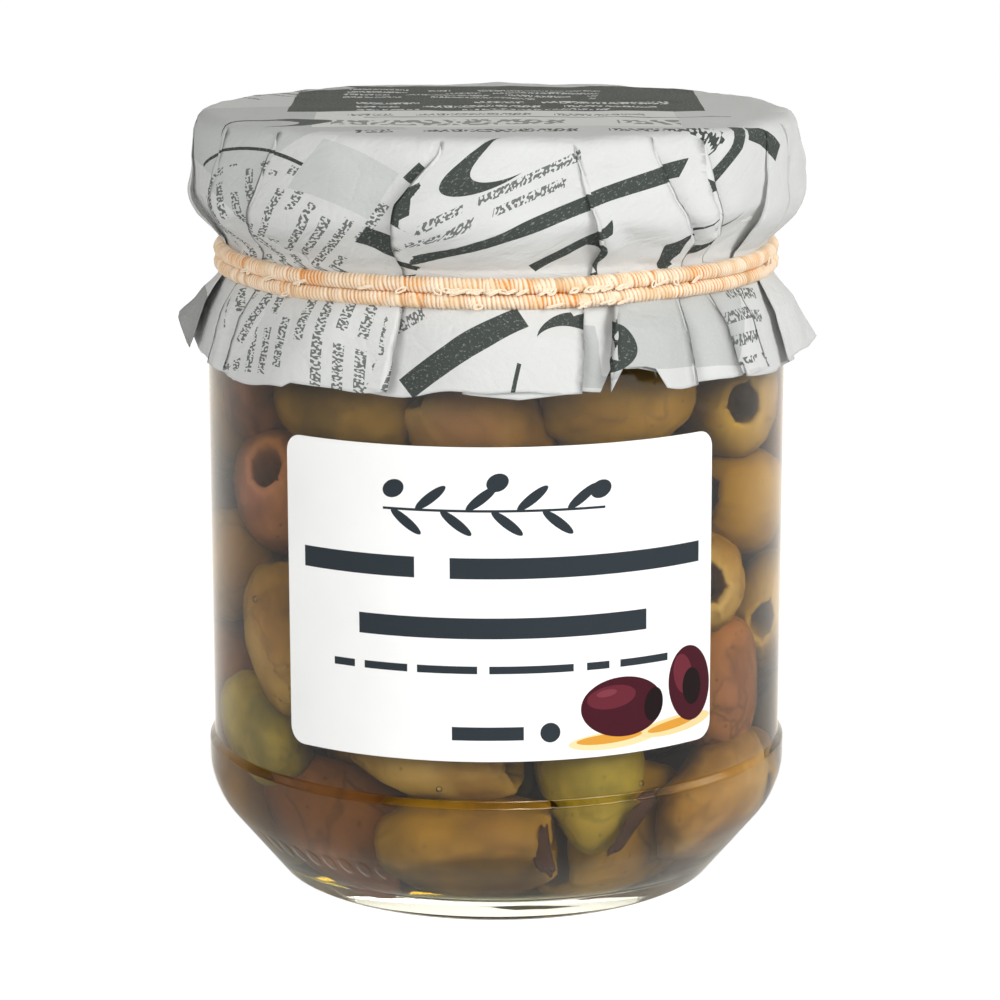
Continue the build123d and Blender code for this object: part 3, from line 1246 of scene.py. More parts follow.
                level += self.panel_level((1 - share) * panel, widths[index + 1], on_left, panel)
                wide = min(1.0, panel / 9)
                bulge = math.sin(math.pi * share) * wide * self.bulge(walk, index)
            turn = (arc * scale) / walk + math.radians(azimuths[0]) if whole else 0.0
            laid.append(self.place(walk, azimuth, level + bulge, turn))
        return laid

    @staticmethod
    def bulge(walk: float, index: int) -> float:
        """How far the middle of a panel puffs out."""
        walks = (32, 38, 43, 47, 51, 54, 58, 62)
        even = float(np.interp(walk, walks, (0, 0.1, 0.5, 0.2, 0.1, 0.5, 0.35, 0.1)))
        return even * (0.7 + 0.5 * noise.noise(Vector((index * 1.7, 3, walk * 0.05))))

    @staticmethod
    def layers(share: float, width: float, side: float, lift: float) -> Pair:
        """Sideways shift and level of a point in a pleat's folded layers.

        Args:
            share: Place in the fold, 0 to 2 overlap widths.
            width: The overlap's width.
            side: 0 if the left panel is on top, 1 if the right one is.
            lift: Distance between two layers.

        Returns:
            The shift towards +X and the level above the lowest layer.
        """
        away = min(share, 2 - share)
        turn_over = 0.5 * lift
        level = 2 * lift * (1 - share / 2)
        left_on_top = (-width * away + turn_over * (math.cos(math.pi * min(1, share / 0.16)) - away), level)
        mirrored = 2 * lift * share / 2
        rolled = turn_over * (math.cos(math.pi * min(1, (2 - share) / 0.16)) - away)
        right_on_top = (width * away - rolled, mirrored)
        shift = left_on_top[0] * (1 - side) + right_on_top[0] * side
        return shift, left_on_top[1] * (1 - side) + right_on_top[1] * side

    @staticmethod
    def panel_level(gap: float, width: float, lift: float, panel: float) -> float:
        """Level of a panel that lies on top at a pleat and drapes down beyond the overlap.

        Args:
            gap: Distance from the pleat.
            width: The overlap's width.
            lift: Distance between two layers.
            panel: Width of the panel.

        Returns:
            The level above the lowest layer.
        """
        drape = max(1.5, 0.85 * (panel - width))
        share = min(1.0, max(0.0, (gap - width) / drape))
        return 2 * lift * (1 - share * share * (3 - 2 * share))

    def place(self, walk: float, azimuth: float, level: float, turn: float) -> tuple[Vector, Pair]:
        """Put one point of the sheet in its place, with its creases.

        Args:
            walk: Distance from the middle of the flat sheet.
            azimuth: Azimuth on the jar in degrees.
            level: Height above the lowest layer.
            turn: Azimuth on the flat sheet in radians.

        Returns:
            The place on the jar and on the flat sheet, in millimetres.
        """
        over = max(0.0, walk - self.band[1]) / (self.hem - self.band[1])
        reach = walk + over * (self.hem_at((azimuth + 180) % 360 - 180, turn) - self.hem)
        radius, height, out, up = self.at(reach)
        flat = (reach * math.sin(turn), -reach * math.cos(turn))
        level += self.crumple(Vector((flat[0], flat[1], 0)), walk)
        ear = self.ears(azimuth, walk)
        spot = around(max(0.0, radius + out * level + ear), azimuth, height + up * level + 0.9 * ear)
        return spot, flat

    @staticmethod
    def ears(azimuth: float, walk: float) -> float:
        """Corners of the skirt that stick out at the left and at the right."""
        low = max(0.0, (walk - 53) / 9) ** 1.5
        left = 2.0 * math.exp(-(((azimuth + 90) / 5) ** 2))
        right = 1.4 * math.exp(-(((azimuth - 85) / 3.5) ** 2))
        notch = 0.8 * math.exp(-(((azimuth - 26) / 4) ** 2))
        return low * (left + right + notch)

    @staticmethod
    def crumple(flat: Vector, walk: float) -> float:
        """Creases left in the paper by handling: ridges with flat facets between."""
        calm = float(np.interp(walk, (0, 30, 36, 47, 49, 51, 54), (0.35, 0.5, 1, 1, 0.25, 0.25, 0.7)))
        broad = 0.3 - abs(noise.noise(flat * 0.085 + Vector((9, 4, 0)))) * 1.1
        small = 0.25 - abs(noise.noise(flat * 0.27 + Vector((2, 8, 3)))) * 0.55
        return calm * (broad * 0.75 + small * 0.5)


@dataclass(frozen=True)
class Newsprint:
    """Glossless printed wrapping paper: pale grey stock with soft dark ink and white-worn creases."""

    stock: str = "d2d3d1"
    ink: str = "454a47"
    small: str = "6d716e"
    heading: str = "8c8f8c"
    strip: str = "3f4441"
    picture: str = "b9bbb9"
    pale: str = "dedfdc"

    def spots(self) -> list[Spot]:
        """The marks, laid out about the sheet's middle with the front at -Y. The grey patch on the left ear
        is painted shade, not print.
        """
        box, disc, moon, rows = Mark
        ink, small, grey = self.ink, self.small, self.picture
        marks = [
            Spot(disc, 0, 0, 0, 31, 31, "cfd0ce"),
            Spot(box, -24, -13, 12, 12, 14, "c2c4c2"),
            Spot(box, 0, 11.5, 0, 23.5, 15.5, self.strip),
            Spot(rows, 2, 2.5, 2, 18, 5.5, "d9dad8", 4.4),
            Spot(rows, -3, 16, -4, 15, 6, "d0d1cf", 3.2),
            Spot(box, 0, -12.4, 1, 20, 8.4, self.pale),
            Spot(rows, 1, -6.9, 1, 17.5, 2.1, small, 4.2),
            Spot(box, 5.7, -10.6, 1.5, 20.3, 0.3, ink),
            Spot(rows, 1, -14.0, 1, 19, 4.6, self.heading, 9.4),
            Spot(rows, 5, -23.6, 2, 20, 2.7, ink, 5.4),
            Spot(moon, -25, -17.5, 20, 7.5, 3.6, ink),
            Spot(box, -24, -26, -47, 17.7, 0.17, ink),
            Spot(rows, -33, -36, 49, 12.5, 19, small, 2.5),
            Spot(box, -15.5, -34, -40, 5.6, 2.7, "c3c5c3"),
            Spot(moon, 1.5, -35.5, -150, 4.2, 3.2, ink),
            Spot(box, -5.5, -38.5, -48, 4.2, 1.0, ink),
            Spot(box, -11, -43.5, -39, 3.6, 1.1, ink),
            Spot(box, -5.5, -44, 40, 2.6, 0.22, ink),
            Spot(rows, 3.5, -42, 44, 10.5, 2.5, small, 2.5),
            Spot(box, 13.5, -38.5, 46, 14.0, 1.0, ink),
            Spot(box, 20.5, -40, 80, 3.4, 1.0, ink),
            Spot(moon, 24.0, -41, 30, 4.6, 3.4, ink),
            Spot(box, 33, -32.5, -14, 2.6, 1.2, ink),
            Spot(moon, 36, -25, -60, 5.0, 3.4, ink),
            Spot(box, 27.5, -23, -63, 3.8, 1.0, ink),
            Spot(box, 30.5, -17, 40, 4.0, 0.9, ink),
            Spot(box, -20.5, -54, -53, 2.9, 1.0, ink),
            Spot(rows, -12, -52, 20, 6.5, 2.6, small, 2.6),
            Spot(box, -7, -56.5, 23, 7.8, 1.2, ink),
            Spot(box, -3, -61, 60, 3.0, 0.2, ink),
            Spot(moon, 5.2, -56.5, 30, 4.6, 3.6, ink),
            Spot(box, 22, -53, 20, 5.5, 3.4, grey),
            Spot(box, 41.5, -36, 46, 15, 5.0, grey),
            Spot(moon, 33, -46, 10, 4.0, 3.0, ink),
            Spot(rows, 50, -22, 66, 9, 6, small, 2.6),
            # Painted shade: a grey patch on the skirt's left ear, which faces away from the light.
            Spot(box, -60, 1, 0, 5, 9, "a0a19e"),
        ]
        draw = random.Random(5)
        for step in range(11):
            azimuth = math.radians(100 + step * 15)
            reach = draw.uniform(36, 56)
            kind, wide, high = draw.choice(((rows, 9, 6), (box, 5, 1), (moon, 5, 3.6), (box, 8, 4)))
            tone = grey if high == 4 else ink
            x, y = reach * math.sin(azimuth), -reach * math.cos(azimuth)
            marks.append(Spot(kind, x, y, draw.uniform(-80, 80), wide, high, tone))
        return marks

    def material(self) -> bpy.types.Material:
        """Build the paper: print by the flat sheet's own map, fibre, mottled ink and fine creases."""
        material, tree, out = new_material("printed_wrapping_paper")
        sheet = add(tree, "UVMap", uv_map="sheet").outputs[0]
        base = add(tree, "TexNoise", {"Vector": sheet, "Scale": 0.12, "Detail": 2.0})
        stock = ramp(tree, base.outputs[0], [(0.35, "cfd0ce"), (0.65, self.stock)])
        ink = printed(tree, sheet, stock, self.spots())
        worn = add(tree, "TexNoise", {"Vector": sheet, "Scale": 3.2, "Detail": 3.0, "Roughness": 0.7})
        bare_and_gap_shade = add(tree, "Math", {0: worn.outputs[0], 1: 0.6}, operation="GREATER_THAN")
        half = add(tree, "Math", {0: bare_and_gap_shade.outputs[0], 1: 0.22}, operation="MULTIPLY")
        mottled = blend(tree, half.outputs[0], ink, stock)
        fibre = add(tree, "TexNoise", {"Vector": sheet, "Scale": 1.6, "Detail": 5.0, "Roughness": 0.65})
        fold = add(tree, "TexVoronoi", {"Vector": sheet, "Scale": 0.28}, feature="DISTANCE_TO_EDGE")
        crease = add(tree, "Math", {0: fold.outputs["Distance"], 1: 0.12}, operation="MINIMUM")
        summed = {0: fibre.outputs[0], 1: 0.5, 2: crease.outputs[0]}
        heights = add(tree, "Math", summed, operation="MULTIPLY_ADD")
        bump = add(tree, "Bump", {"Height": heights.outputs[0], "Strength": 0.7, "Distance": 0.0004})
        paper = add(
            tree,
            "BsdfPrincipled",
            {"Base Color": mottled, "Roughness": 0.75, "Specular IOR Level": 0.04, "Normal": bump.outputs[0]},
        )
        tree.links.new(paper.outputs[0], out.inputs["Surface"])
        return material


# ------------------------------------------------------------------ elastic
def swept(
    path: list[Vector], radius: Callable[[int, float], float], sides: int, upward: Vector
) -> bmesh.types.BMesh:
    """Sweep a round section along a path.

    Args:
        path: Points of the path.
        radius: Radius for a point's number and an angle around the section.
        sides: Sides of the section.
        upward: A direction that the path nowhere follows, from which angles are counted.

    Returns:
        The tube, open at its ends.
    """
    shape = bmesh.new()
    bmesh.ops.create_grid(shape, x_segments=sides, y_segments=len(path) - 1, size=0.5)
    shape.verts.ensure_lookup_table()
    for row, point in enumerate(path):
        before, after = path[max(0, row - 1)], path[min(len(path) - 1, row + 1)]
        along = (after - before).normalized()
        across = along.cross(upward).normalized()
        up = across.cross(along)
        for side in range(sides + 1):
            angle = math.tau * side / sides
            reach = radius(row, angle)
            spot = point + across * (reach * math.cos(angle)) + up * (reach * math.sin(angle))
            shape.verts[row * (sides + 1) + side].co = spot
    bmesh.ops.remove_doubles(shape, verts=shape.verts, dist=1e-3)
    ends = [edge for edge in shape.edges if edge.is_boundary]
    bmesh.ops.holes_fill(shape, edges=ends, sides=0)
    bmesh.ops.recalc_face_normals(shape, faces=shape.faces)
    return shape


@dataclass
class Elastic:
    """A thread-wound elastic band that goes twice round the neck and crosses itself at the back."""

    radius: float = 31.35
    upper: float = 72.9
    lower: float = 71.3
    strand: float = 0.9
    wraps: int = 820
    per_wrap: int = 5
    sides: int = 14
    crossing: float = 17.0  # degrees to each side of the back
    front_drop: float = 0.45  # how much lower the band lies in front than at the sides
    step_out: float = 1.6  # how far one strand stands off where it crosses the other
    loops: int = 75
    seed: int = 4

    def level(self, turned_by: float) -> Pair:
        """Height and radius of the band after some degrees from the back."""
        back = (turned_by + 180) % 360 - 180
        first = 180 <= turned_by < 540
        ease = min(1.0, max(0.0, (back + self.crossing) / (2 * self.crossing)))
        ease = ease * ease * (3 - 2 * ease)
        top, bottom = (self.upper, self.lower) if first else (self.lower, self.upper)
        sag = 0.1 * math.sin(math.radians(back * 2 + 20)) + 0.07 * math.sin(math.radians(back * 7 + 40))
        sag += self.front_drop * math.cos(math.radians(back))
        over = math.exp(-((back / 9) ** 2)) if first else 0.0
        return top + (bottom - top) * ease + sag, self.radius + over * self.step_out

    def route(self) -> list[Vector]:
        """Points along the middle of the band, twice round."""
        count = self.wraps * self.per_wrap
        points = []
        for step in range(count + 1):
            turned_by = 720 * step / count
            height, radius = self.level(turned_by)
            points.append(around(radius, turned_by + 180, height))
        return points

    def build(self) -> bpy.types.Object:
        """Make the band and the loose loops of thread that have slipped out of it."""

        def wound(row: int, angle: float) -> float:
            """Radius over the slanting turns of thread."""
            slow = noise.noise(Vector((row * 0.013, 1, 7)))
            quick = noise.noise(Vector((row * 0.09, 4, 2)))
            slant = noise.noise(Vector((row * 0.05, 9, 5))) * 1.6 * math.sin(angle)
            phase = row / self.per_wrap * math.pi + angle + slant + 2.2 * slow + 2.0 * quick
            return self.strand * (0.8 + 0.2 * abs(math.sin(phase)) ** 0.7 + 0.06 * slow + 0.1 * quick)

        shape = swept(self.route(), wound, self.sides, Vector((0, 0, 1)))
        gap = shape.verts.layers.float_color.new("gap")
        for vert in shape.verts:
            vert[gap] = self.gap_at(vert.co)
        draw = random.Random(self.seed)
        for _ in range(self.loops):
            self.add_loop(shape, draw)
        return make_piece(shape, "wound_elastic", [WoundThread().material()], "elastic")

    def gap_at(self, spot: Vector) -> Colour:
        """How deep a point lies between two turns of thread. The thread's material paints the deep parts as
        shade, and as the orange core where that shows.
        """
        azimuth = math.degrees(math.atan2(spot.x, -spot.y))
        nearest = 9.0
        for turned_by in ((azimuth + 180) % 360, (azimuth + 180) % 360 + 360):
            height, radius = self.level(turned_by)
            nearest = min(nearest, math.hypot(spot.xy.length - radius, spot.z - height))
        depth = min(1.0, max(0.0, (1 - nearest / self.strand) / 0.12))
        worn = noise.noise(spot * 0.6) * 0.5 + 0.5
        # Picks where the gaps show the orange core and where they get painted shade.
        bare_and_gap_shade = noise.noise(spot * 0.32 + Vector((5, 0, 9))) * 0.5 + 0.5
        return (depth, worn, bare_and_gap_shade, 1)

    def add_loop(self, shape: bmesh.types.BMesh, draw: random.Random) -> None:
        """Add one little loop of thread that stands off the band.

        Args:
            shape: The band's shape.
            draw: Source of the loops' places and sizes.
        """
        places = (draw.gauss(10, 12), draw.uniform(-60, 75), draw.uniform(90, 270))
        azimuth = draw.choices(places, (5, 2, 2))[0]
        upper = draw.random() < 0.15
        height, radius = self.level((azimuth + 180) % 360 + (360 if upper else 0))
        wide, tall = draw.uniform(0.2, 0.45), draw.uniform(0.3, 0.6)
        lean = draw.uniform(-0.9, 0.2)
        path = []
        for step in range(15):
            angle = math.tau * step / 14 - math.pi / 2
            side = wide * math.cos(angle) / radius
            drop = 0.25 - self.strand * 0.5 - tall * (1 + math.sin(angle)) * 0.6
            out = self.strand * 0.8 + 0.08 * (1 + math.sin(angle)) + 0.12 * lean * math.cos(angle)
            turned_to = azimuth + math.degrees(side) + lean * 2 * math.sin(angle)
            path.append(around(radius + out, turned_to, height + drop))
        loop = swept(path, lambda row, angle: 0.12, 5, around(1, azimuth, 0))
        tint = loop.verts.layers.float_color.new("gap")
        for vert in loop.verts:
            # Some loops take a little painted gap shade from their depth value.
            vert[tint] = (draw.uniform(0.1, 0.5), 0.6, 0.3, 1)
        join(shape, loop)


@dataclass(frozen=True)
class WoundThread:
    """Viscose thread wound on rubber: cream with a soft shine, orange where the core shows, and painted shade
    in the other gaps between the turns.
    """

    thread: str = "f3dfc6"
    worn: str = "e9caa4"
    # painted shade: the colour of the gaps between turns where the core doesn't show
    shaded: str = "d6ad80"
    core: str = "dd8e3a"

    def material(self) -> bpy.types.Material:
        """Build the thread. The gap attribute shows the core between the turns in places and paints shade in
        the other gaps.
        """
        material, tree, out = new_material("wound_viscose_thread")
        own = add(tree, "VertexColor", layer_name="gap")
        parts = add(tree, "SeparateColor", {"Color": own.outputs["Color"]})
        thread = ramp(tree, parts.outputs[1], [(0.3, self.worn), (0.6, self.thread)])
        deep = ramp(tree, parts.outputs[0], [(0.35, "000000"), (0.9, "ffffff")])
        bare_and_gap_shade = ramp(tree, parts.outputs[2], [(0.44, self.shaded), (0.6, self.core)])
        colour = blend(tree, deep, thread, bare_and_gap_shade)
        place = add(tree, "TexCoord").outputs["Object"]
        fibre = add(tree, "TexNoise", {"Vector": place, "Scale": 4000.0, "Detail": 2.0})
        bump = add(tree, "Bump", {"Height": fibre.outputs[0], "Strength": 0.3, "Distance": 0.0001})
        cotton = add(
            tree,
            "BsdfPrincipled",
            {
                "Base Color": colour,
                "Roughness": 0.6,
                "Specular IOR Level": 0.15,
                "Sheen Weight": 0.2,
                "Sheen Roughness": 0.4,
                "Normal": bump.outputs[0],
            },
        )
        tree.links.new(cotton.outputs[0], out.inputs["Surface"])
        return material


# ------------------------------------------------------------------ label
@dataclass
class Label:
    """A paper label with rounded corners, stuck round the front of the jar."""

    jar: Jar
    width: float = 51.2
    corner: float = 1.9
    thickness: float = 0.13
    lift: float = 0.06
    turn: float = 1.1  # degrees off the front
    tilt: float = 0.3  # degrees
    step: float = 0.8

    def build(self) -> bpy.types.Object:
        """Make the label: a rounded card, cut into strips and bent round the glass."""
        low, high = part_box("label")
        middle = (low[2] + high[2]) / 2 / MM
        height = (high[2] - low[2]) / MM
        shape = bmesh.new()
        bmesh.ops.create_grid(shape, x_segments=1, y_segments=1, size=0.5)
        bmesh.ops.scale(shape, vec=(self.width, height, 1), verts=shape.verts)
        bmesh.ops.bevel(
            shape,
            geom=shape.verts[:],
            offset=self.corner,
            offset_type="OFFSET",
            segments=6,
            profile=0.5,
            affect="VERTICES",
            material=-1,
        )
        for cut in range(1, int(self.width / self.step)):
            geom = [*shape.verts, *shape.edges, *shape.faces]
            x = -self.width / 2 + cut * self.step
            bmesh.ops.bisect_plane(shape, geom=geom, plane_co=(x, 0, 0), plane_no=(1, 0, 0))
        for cut in range(1, 12):
            geom = [*shape.verts, *shape.edges, *shape.faces]
            y = -height / 2 + cut * height / 12
            bmesh.ops.bisect_plane(shape, geom=geom, plane_co=(0, y, 0), plane_no=(0, 1, 0))
        flat = shape.loops.layers.uv.new("card")
        for face in shape.faces:
            for loop in face.loops:
                loop[flat].uv = loop.vert.co.xy
        bmesh.ops.rotate(shape, matrix=Matrix.Rotation(math.radians(self.tilt), 3, "Z"), verts=shape.verts)
        radius = self.jar.body_radius + self.lift + self.thickness
        for vert in shape.verts:
            ripple = 0.02 * noise.noise(vert.co * 0.12)
            azimuth = self.turn + math.degrees(vert.co.x / radius)
            vert.co = around(radius + ripple, azimuth, middle + vert.co.y)
        bmesh.ops.recalc_face_normals(shape, faces=shape.faces)
        shape.faces.ensure_lookup_table()
        if shape.faces[0].normal.dot(shape.faces[0].calc_center_median()) < 0:
            bmesh.ops.reverse_faces(shape, faces=shape.faces)
        bmesh.ops.solidify(shape, geom=shape.faces[:], thickness=self.thickness)
        bmesh.ops.recalc_face_normals(shape, faces=shape.faces)
        label = make_piece(shape, "paper_label", [LabelPaper().material()], "label")
        label.data.set_sharp_from_angle(angle=math.radians(40))
        return label


@dataclass(frozen=True)
class LabelPaper:
    """Smooth white self-adhesive paper with charcoal bars, a sprig and a picture of two olives."""

    stock: str = "f8f8f6"
    ink: str = "2f363b"
    olive: str = "431822"
    shine: str = "7b3a44"
    dark: str = "1c1214"
    amber: str = "d99a3c"

    def spots(self) -> list[Spot]:
        """The marks, about the label's middle."""
        box, disc = Mark.BOX, Mark.DISC
        ink = self.ink
        marks = [Spot(box, -0.8, 10.4, 0, 12.2, 0.14, ink)]
        for leaf in range(8):
            along = -10.4 + leaf * 2.75
            up = 1 if leaf % 2 else -1
            marks.append(Spot(disc, along, 10.4 + up * 1.35, 38 * up, 2.1, 0.55, ink))
        berries = ((-11.8, 12.6), (-0.4, 13.5), (10.9, 12.4))
        marks += [Spot(disc, x, y, 25, 1.25, 0.95, ink) for x, y in berries]
        marks += [
            Spot(box, -16.3, 4.1, 0, 6.8, 1.15, ink),
            Spot(box, 9.0, 4.1, 0, 14.6, 1.15, ink),
            Spot(box, 0.2, -2.5, 0, 16.2, 1.15, ink),
            Spot(box, -17.9, -7.1, 0, 1.3, 0.42, ink),
            Spot(box, -12.9, -7.1, 0, 2.5, 0.42, ink),
            Spot(box, -6.0, -7.1, 0, 3.3, 0.42, ink),
            Spot(box, 3.2, -7.1, 0, 4.6, 0.42, ink),
            Spot(box, 10.6, -7.1, 0, 1.3, 0.42, ink),
            Spot(box, 16.2, -7.1, 0, 3.0, 0.42, ink),
            Spot(box, -1.6, -14.2, 0, 3.9, 0.75, ink),
            Spot(disc, 5.2, -14.2, 0, 1.1, 1.1, ink),
        ]
        marks += self.picture()
        return marks

    def picture(self) -> list[Spot]:
        """Two pitted olives that lie on a golden puddle of oil."""
        disc = Mark.DISC
        return [
            Spot(disc, 12.6, -15.6, 2, 5.4, 1.0, "f3d9a6"),
            Spot(disc, 20.5, -15.0, 4, 5.0, 1.0, "f1d39a"),
            Spot(disc, 12.0, -15.4, 2, 3.9, 0.55, self.amber),
            Spot(disc, 20.0, -14.9, 6, 3.4, 0.5, self.amber),
            Spot(disc, 22.4, -10.6, 8, 3.0, 4.3, self.olive),
            Spot(disc, 21.4, -9.4, 12, 1.3, 2.3, "6a2b36"),
            Spot(disc, 22.7, -11.0, 4, 1.35, 2.1, self.dark),
            Spot(disc, 13.6, -12.0, -3, 5.0, 3.35, self.olive),
            Spot(disc, 12.2, -10.8, 4, 2.9, 1.3, "652833"),
            Spot(disc, 11.6, -10.3, 6, 1.2, 0.4, self.shine),
            Spot(disc, 17.4, -12.2, -8, 1.2, 1.9, self.dark),
        ]

    def material(self) -> bpy.types.Material:
        """Build the label: print by the card's own map, with a faint tooth and a satin shine."""
        material, tree, out = new_material("satin_label_paper")
        card = add(tree, "UVMap", uv_map="card").outputs[0]
        cloud = add(tree, "TexNoise", {"Vector": card, "Scale": 0.1, "Detail": 2.0})
        stock = ramp(tree, cloud.outputs[0], [(0.3, "f4f4f2"), (0.7, self.stock)])
        colour = printed(tree, card, stock, self.spots())
        tooth = add(tree, "TexNoise", {"Vector": card, "Scale": 6.0, "Detail": 3.0})
        bump = add(tree, "Bump", {"Height": tooth.outputs[0], "Strength": 0.1, "Distance": 0.00005})
        paper = add(
            tree,
            "BsdfPrincipled",
            {"Base Color": colour, "Roughness": 0.5, "Specular IOR Level": 0.12, "Normal": bump.outputs[0]},
        )
        tree.links.new(paper.outputs[0], out.inputs["Surface"])
        return material


# ------------------------------------------------------------------ lid
@dataclass(frozen=True)
class LacqueredTin:
    """White lacquered tinplate: an even, glossy off-white with a faint rolled grain."""

    lacquer: str = "eceae4"

    def material(self) -> bpy.types.Material:
        """Build the lacquer."""
        material, tree, out = new_material("white_lacquered_tinplate")
        place = add(tree, "TexCoord").outputs["Object"]
        cloud = add(tree, "TexNoise", {"Vector": place, "Scale": 60.0, "Detail": 3.0})
        colour = ramp(tree, cloud.outputs[0], [(0.3, "e2e0d9"), (0.7, self.lacquer)])
        grain = add(tree, "TexNoise", {"Vector": place, "Scale": 1500.0})
        bump = add(tree, "Bump", {"Height": grain.outputs[0], "Strength": 0.1, "Distance": 0.00005})
        finish = {"Base Color": colour, "Roughness": 0.35, "Normal": bump.outputs[0]}
        tin = add(tree, "BsdfPrincipled", finish)
        tree.links.new(tin.outputs[0], out.inputs["Surface"])
        return material

    def dress(self, lid: bpy.types.Object) -> None:
        """Give the lid's own surface this finish."""
        lid.data.materials.clear()
        lid.data.materials.append(self.material())


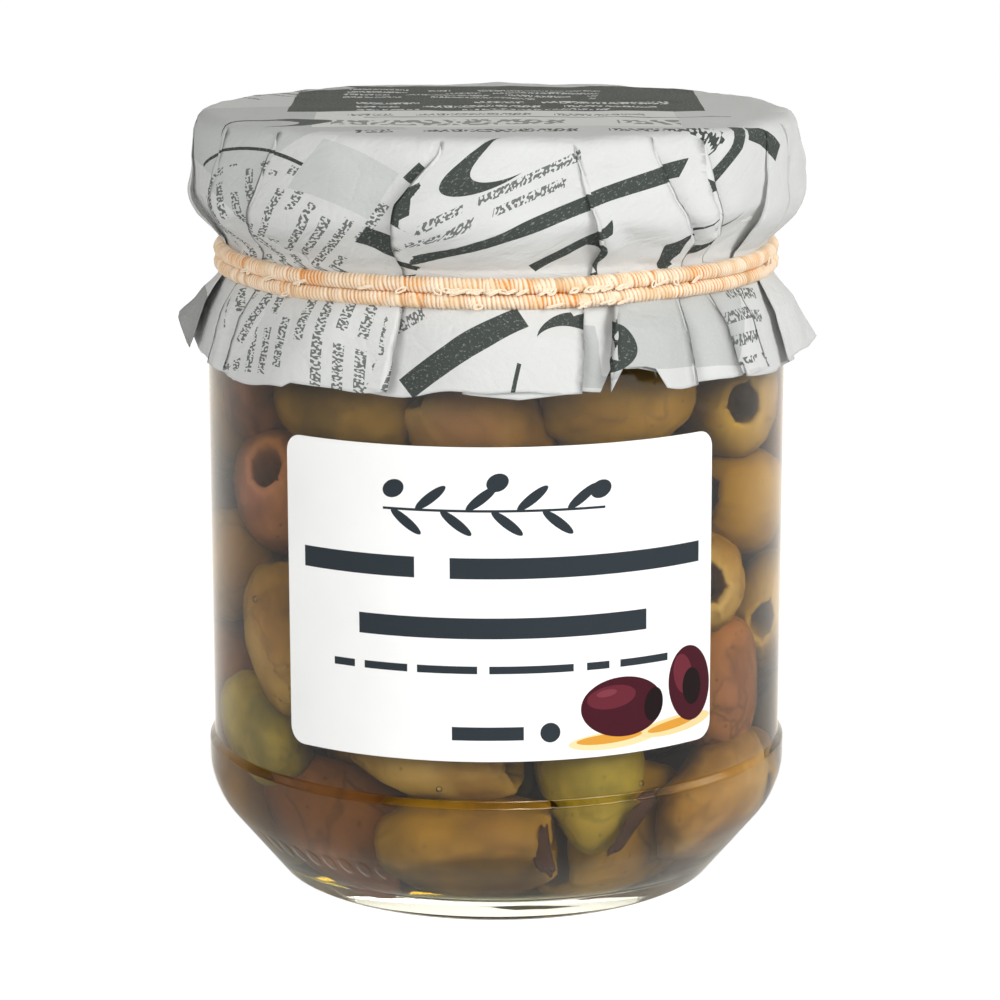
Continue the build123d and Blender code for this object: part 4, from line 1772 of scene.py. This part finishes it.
# ------------------------------------------------------------------ stage
@dataclass
class Studio:
    """A pale floor, soft lamps and the camera."""

    lens: float = 125.9
    eye: tuple[float, float, float] = (0.43, -397.4, 126.5)
    pitch: float = 11.89  # degrees below level
    floor_size: float = 12.0  # metres
    mirrored: str = "fff9ef"

    def build(self) -> None:
        """Set up the whole stage."""
        self.place_camera()
        self.light_world()
        self.lay_floor()
        self.hang_lamp("key", (-0.6, -0.95, 0.5), 0.7, 7.6)
        self.hang_lamp("fill", (0.92, -0.72, 0.55), 0.7, 12.6)
        bpy.context.scene.view_settings.view_transform = "Standard"

    def place_camera(self) -> None:
        """Put the camera where the jar is seen from, a little above it."""
        data = bpy.data.cameras.new("camera")
        data.lens = self.lens
        data.sensor_width = 36.0
        data.clip_start = 0.01
        camera = bpy.data.objects.new("camera", data)
        camera.location = [value * MM for value in self.eye]
        camera.rotation_euler = (math.radians(90 - self.pitch), 0, 0)
        bpy.context.scene.collection.objects.link(camera)
        bpy.context.scene.camera = camera

    def light_world(self) -> None:
        """White all round for what is seen and mirrored, and a softer white as light."""
        world = bpy.data.worlds.new("studio")
        world.use_nodes = True
        tree = world.node_tree
        tree.nodes.clear()
        seen = self.seen_share(tree)
        soft = add(tree, "Background", {"Color": srgb("ffffff"), "Strength": 0.2})
        white = add(tree, "Background", {"Color": srgb("ffffff"), "Strength": 1.0})
        room = add(tree, "Background", {"Color": srgb(self.mirrored), "Strength": self.room_shine(tree)})
        mirrored = add(tree, "LightPath").outputs["Is Glossy Ray"]
        seen_or_mirrored = add(tree, "MixShader", {0: mirrored, 1: white.outputs[0], 2: room.outputs[0]})
        mix = add(tree, "MixShader", {0: seen, 1: soft.outputs[0], 2: seen_or_mirrored.outputs[0]})
        add(tree, "OutputWorld", {"Surface": mix.outputs[0]})
        bpy.context.scene.world = world

    @staticmethod
    def room_shine(tree: bpy.types.NodeTree) -> Socket:
        """What gloss mirrors: a dim room in front, white behind, and a long lamp high at the right."""
        direction = add(tree, "TexCoord").outputs["Generated"]
        aim = add(tree, "SeparateXYZ", {0: direction})
        right, back, up = aim.outputs
        white = add(tree, "MapRange", {0: back, 1: 0.3, 2: 0.95, 3: 0.1, 4: 1.6}).outputs[0]
        rising = add(tree, "MapRange", {0: up, 1: 0.42, 2: 0.5}).outputs[0]
        falling = add(tree, "MapRange", {0: up, 1: 0.78, 2: 0.7}).outputs[0]
        sideways = add(tree, "MapRange", {0: right, 1: -0.1, 2: 0.2, 3: 0.2}).outputs[0]
        band = calc(tree, "MULTIPLY", rising, falling)
        lamp = calc(tree, "MULTIPLY", band, sideways)
        spread = calc(tree, "MULTIPLY_ADD", lamp, 9.0, white)
        toward = add(tree, "VectorMath", {0: direction, 1: (0.15, -0.775, 0.615)}, operation="DOT_PRODUCT")
        bulb = calc(tree, "GREATER_THAN", toward.outputs["Value"], 0.9975)
        return calc(tree, "MULTIPLY_ADD", bulb, 18.0, spread)

    @staticmethod
    def seen_share(tree: bpy.types.NodeTree) -> Socket:
        """1 for rays that are seen directly, in a mirror or through glass, else 0."""
        path = add(tree, "LightPath")
        direct = add(
            tree,
            "Math",
            {0: path.outputs["Is Camera Ray"], 1: path.outputs["Is Glossy Ray"]},
            operation="MAXIMUM",
        )
        return calc(tree, "MAXIMUM", direct.outputs[0], path.outputs["Is Transmission Ray"])

    def lay_floor(self) -> None:
        """Lay a white floor that keeps a faint shadow and is white where it is seen."""
        shape = bmesh.new()
        bmesh.ops.create_grid(shape, x_segments=1, y_segments=1, size=self.floor_size / 2)
        mesh = bpy.data.meshes.new("floor")
        shape.to_mesh(mesh)
        shape.free()
        floor = bpy.data.objects.new("floor", mesh)
        floor.location.z = -0.00002
        bpy.context.scene.collection.objects.link(floor)
        material, tree, out = new_material("white_paper_sweep")
        matt = add(tree, "BsdfDiffuse", {"Color": srgb("f4f4f4")})
        mirrored = add(tree, "LightPath").outputs["Is Glossy Ray"]
        white = blend(tree, mirrored, srgb("ffffff"), srgb(self.mirrored))
        glow = add(tree, "Emission", {"Color": white, "Strength": 1.2})
        outward = add(tree, "VectorMath", {0: add(tree, "TexCoord").outputs["Object"]}, operation="NORMALIZE")
        back = add(tree, "SeparateXYZ", {0: outward.outputs[0]}).outputs[1]
        room = add(tree, "MapRange", {0: back, 1: 0.3, 2: 0.9, 3: 0.08, 4: 1.0}).outputs[0]
        glowing = add(tree, "Mix", {0: mirrored, 2: 0.8, 3: room}).outputs[0]
        share = add(tree, "Math", {0: self.seen_share(tree), 1: glowing}, operation="MULTIPLY")
        mix = add(tree, "MixShader", {0: share.outputs[0], 1: matt.outputs[0], 2: glow.outputs[0]})
        tree.links.new(mix.outputs[0], out.inputs["Surface"])
        mesh.materials.append(material)

    @staticmethod
    def hang_lamp(name: str, place: tuple[float, float, float], size: float, power: float) -> None:
        """Hang a square soft box that faces the middle of the jar.

        Args:
            name: The lamp's name.
            place: Where it hangs, in metres.
            size: Its side, in metres.
            power: Its power in watts.
        """
        data = bpy.data.lights.new(name, "AREA")
        data.shape = "SQUARE"
        data.size = size
        data.energy = power
        lamp = bpy.data.objects.new(name, data)
        lamp.location = place
        aim = Vector((0, 0, 0.045)) - Vector(place)
        lamp.rotation_euler = aim.to_track_quat("-Z", "Y").to_euler()
        lamp.visible_glossy = False
        bpy.context.scene.collection.objects.link(lamp)


def main() -> None:
    """Build every sub-assembly and report the pieces."""
    logging.basicConfig(level=logging.INFO, format="%(name)s %(message)s")
    Studio().build()
    jar = Jar()
    jar.build()
    Oil(jar).build()
    OliveHeap(jar).build()
    AirBubbles(jar).build()
    PaperCover().build()
    Elastic().build()
    Label(jar).build()
    LacqueredTin().dress(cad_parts["lid"])


if __name__ == "__main__":
    main()
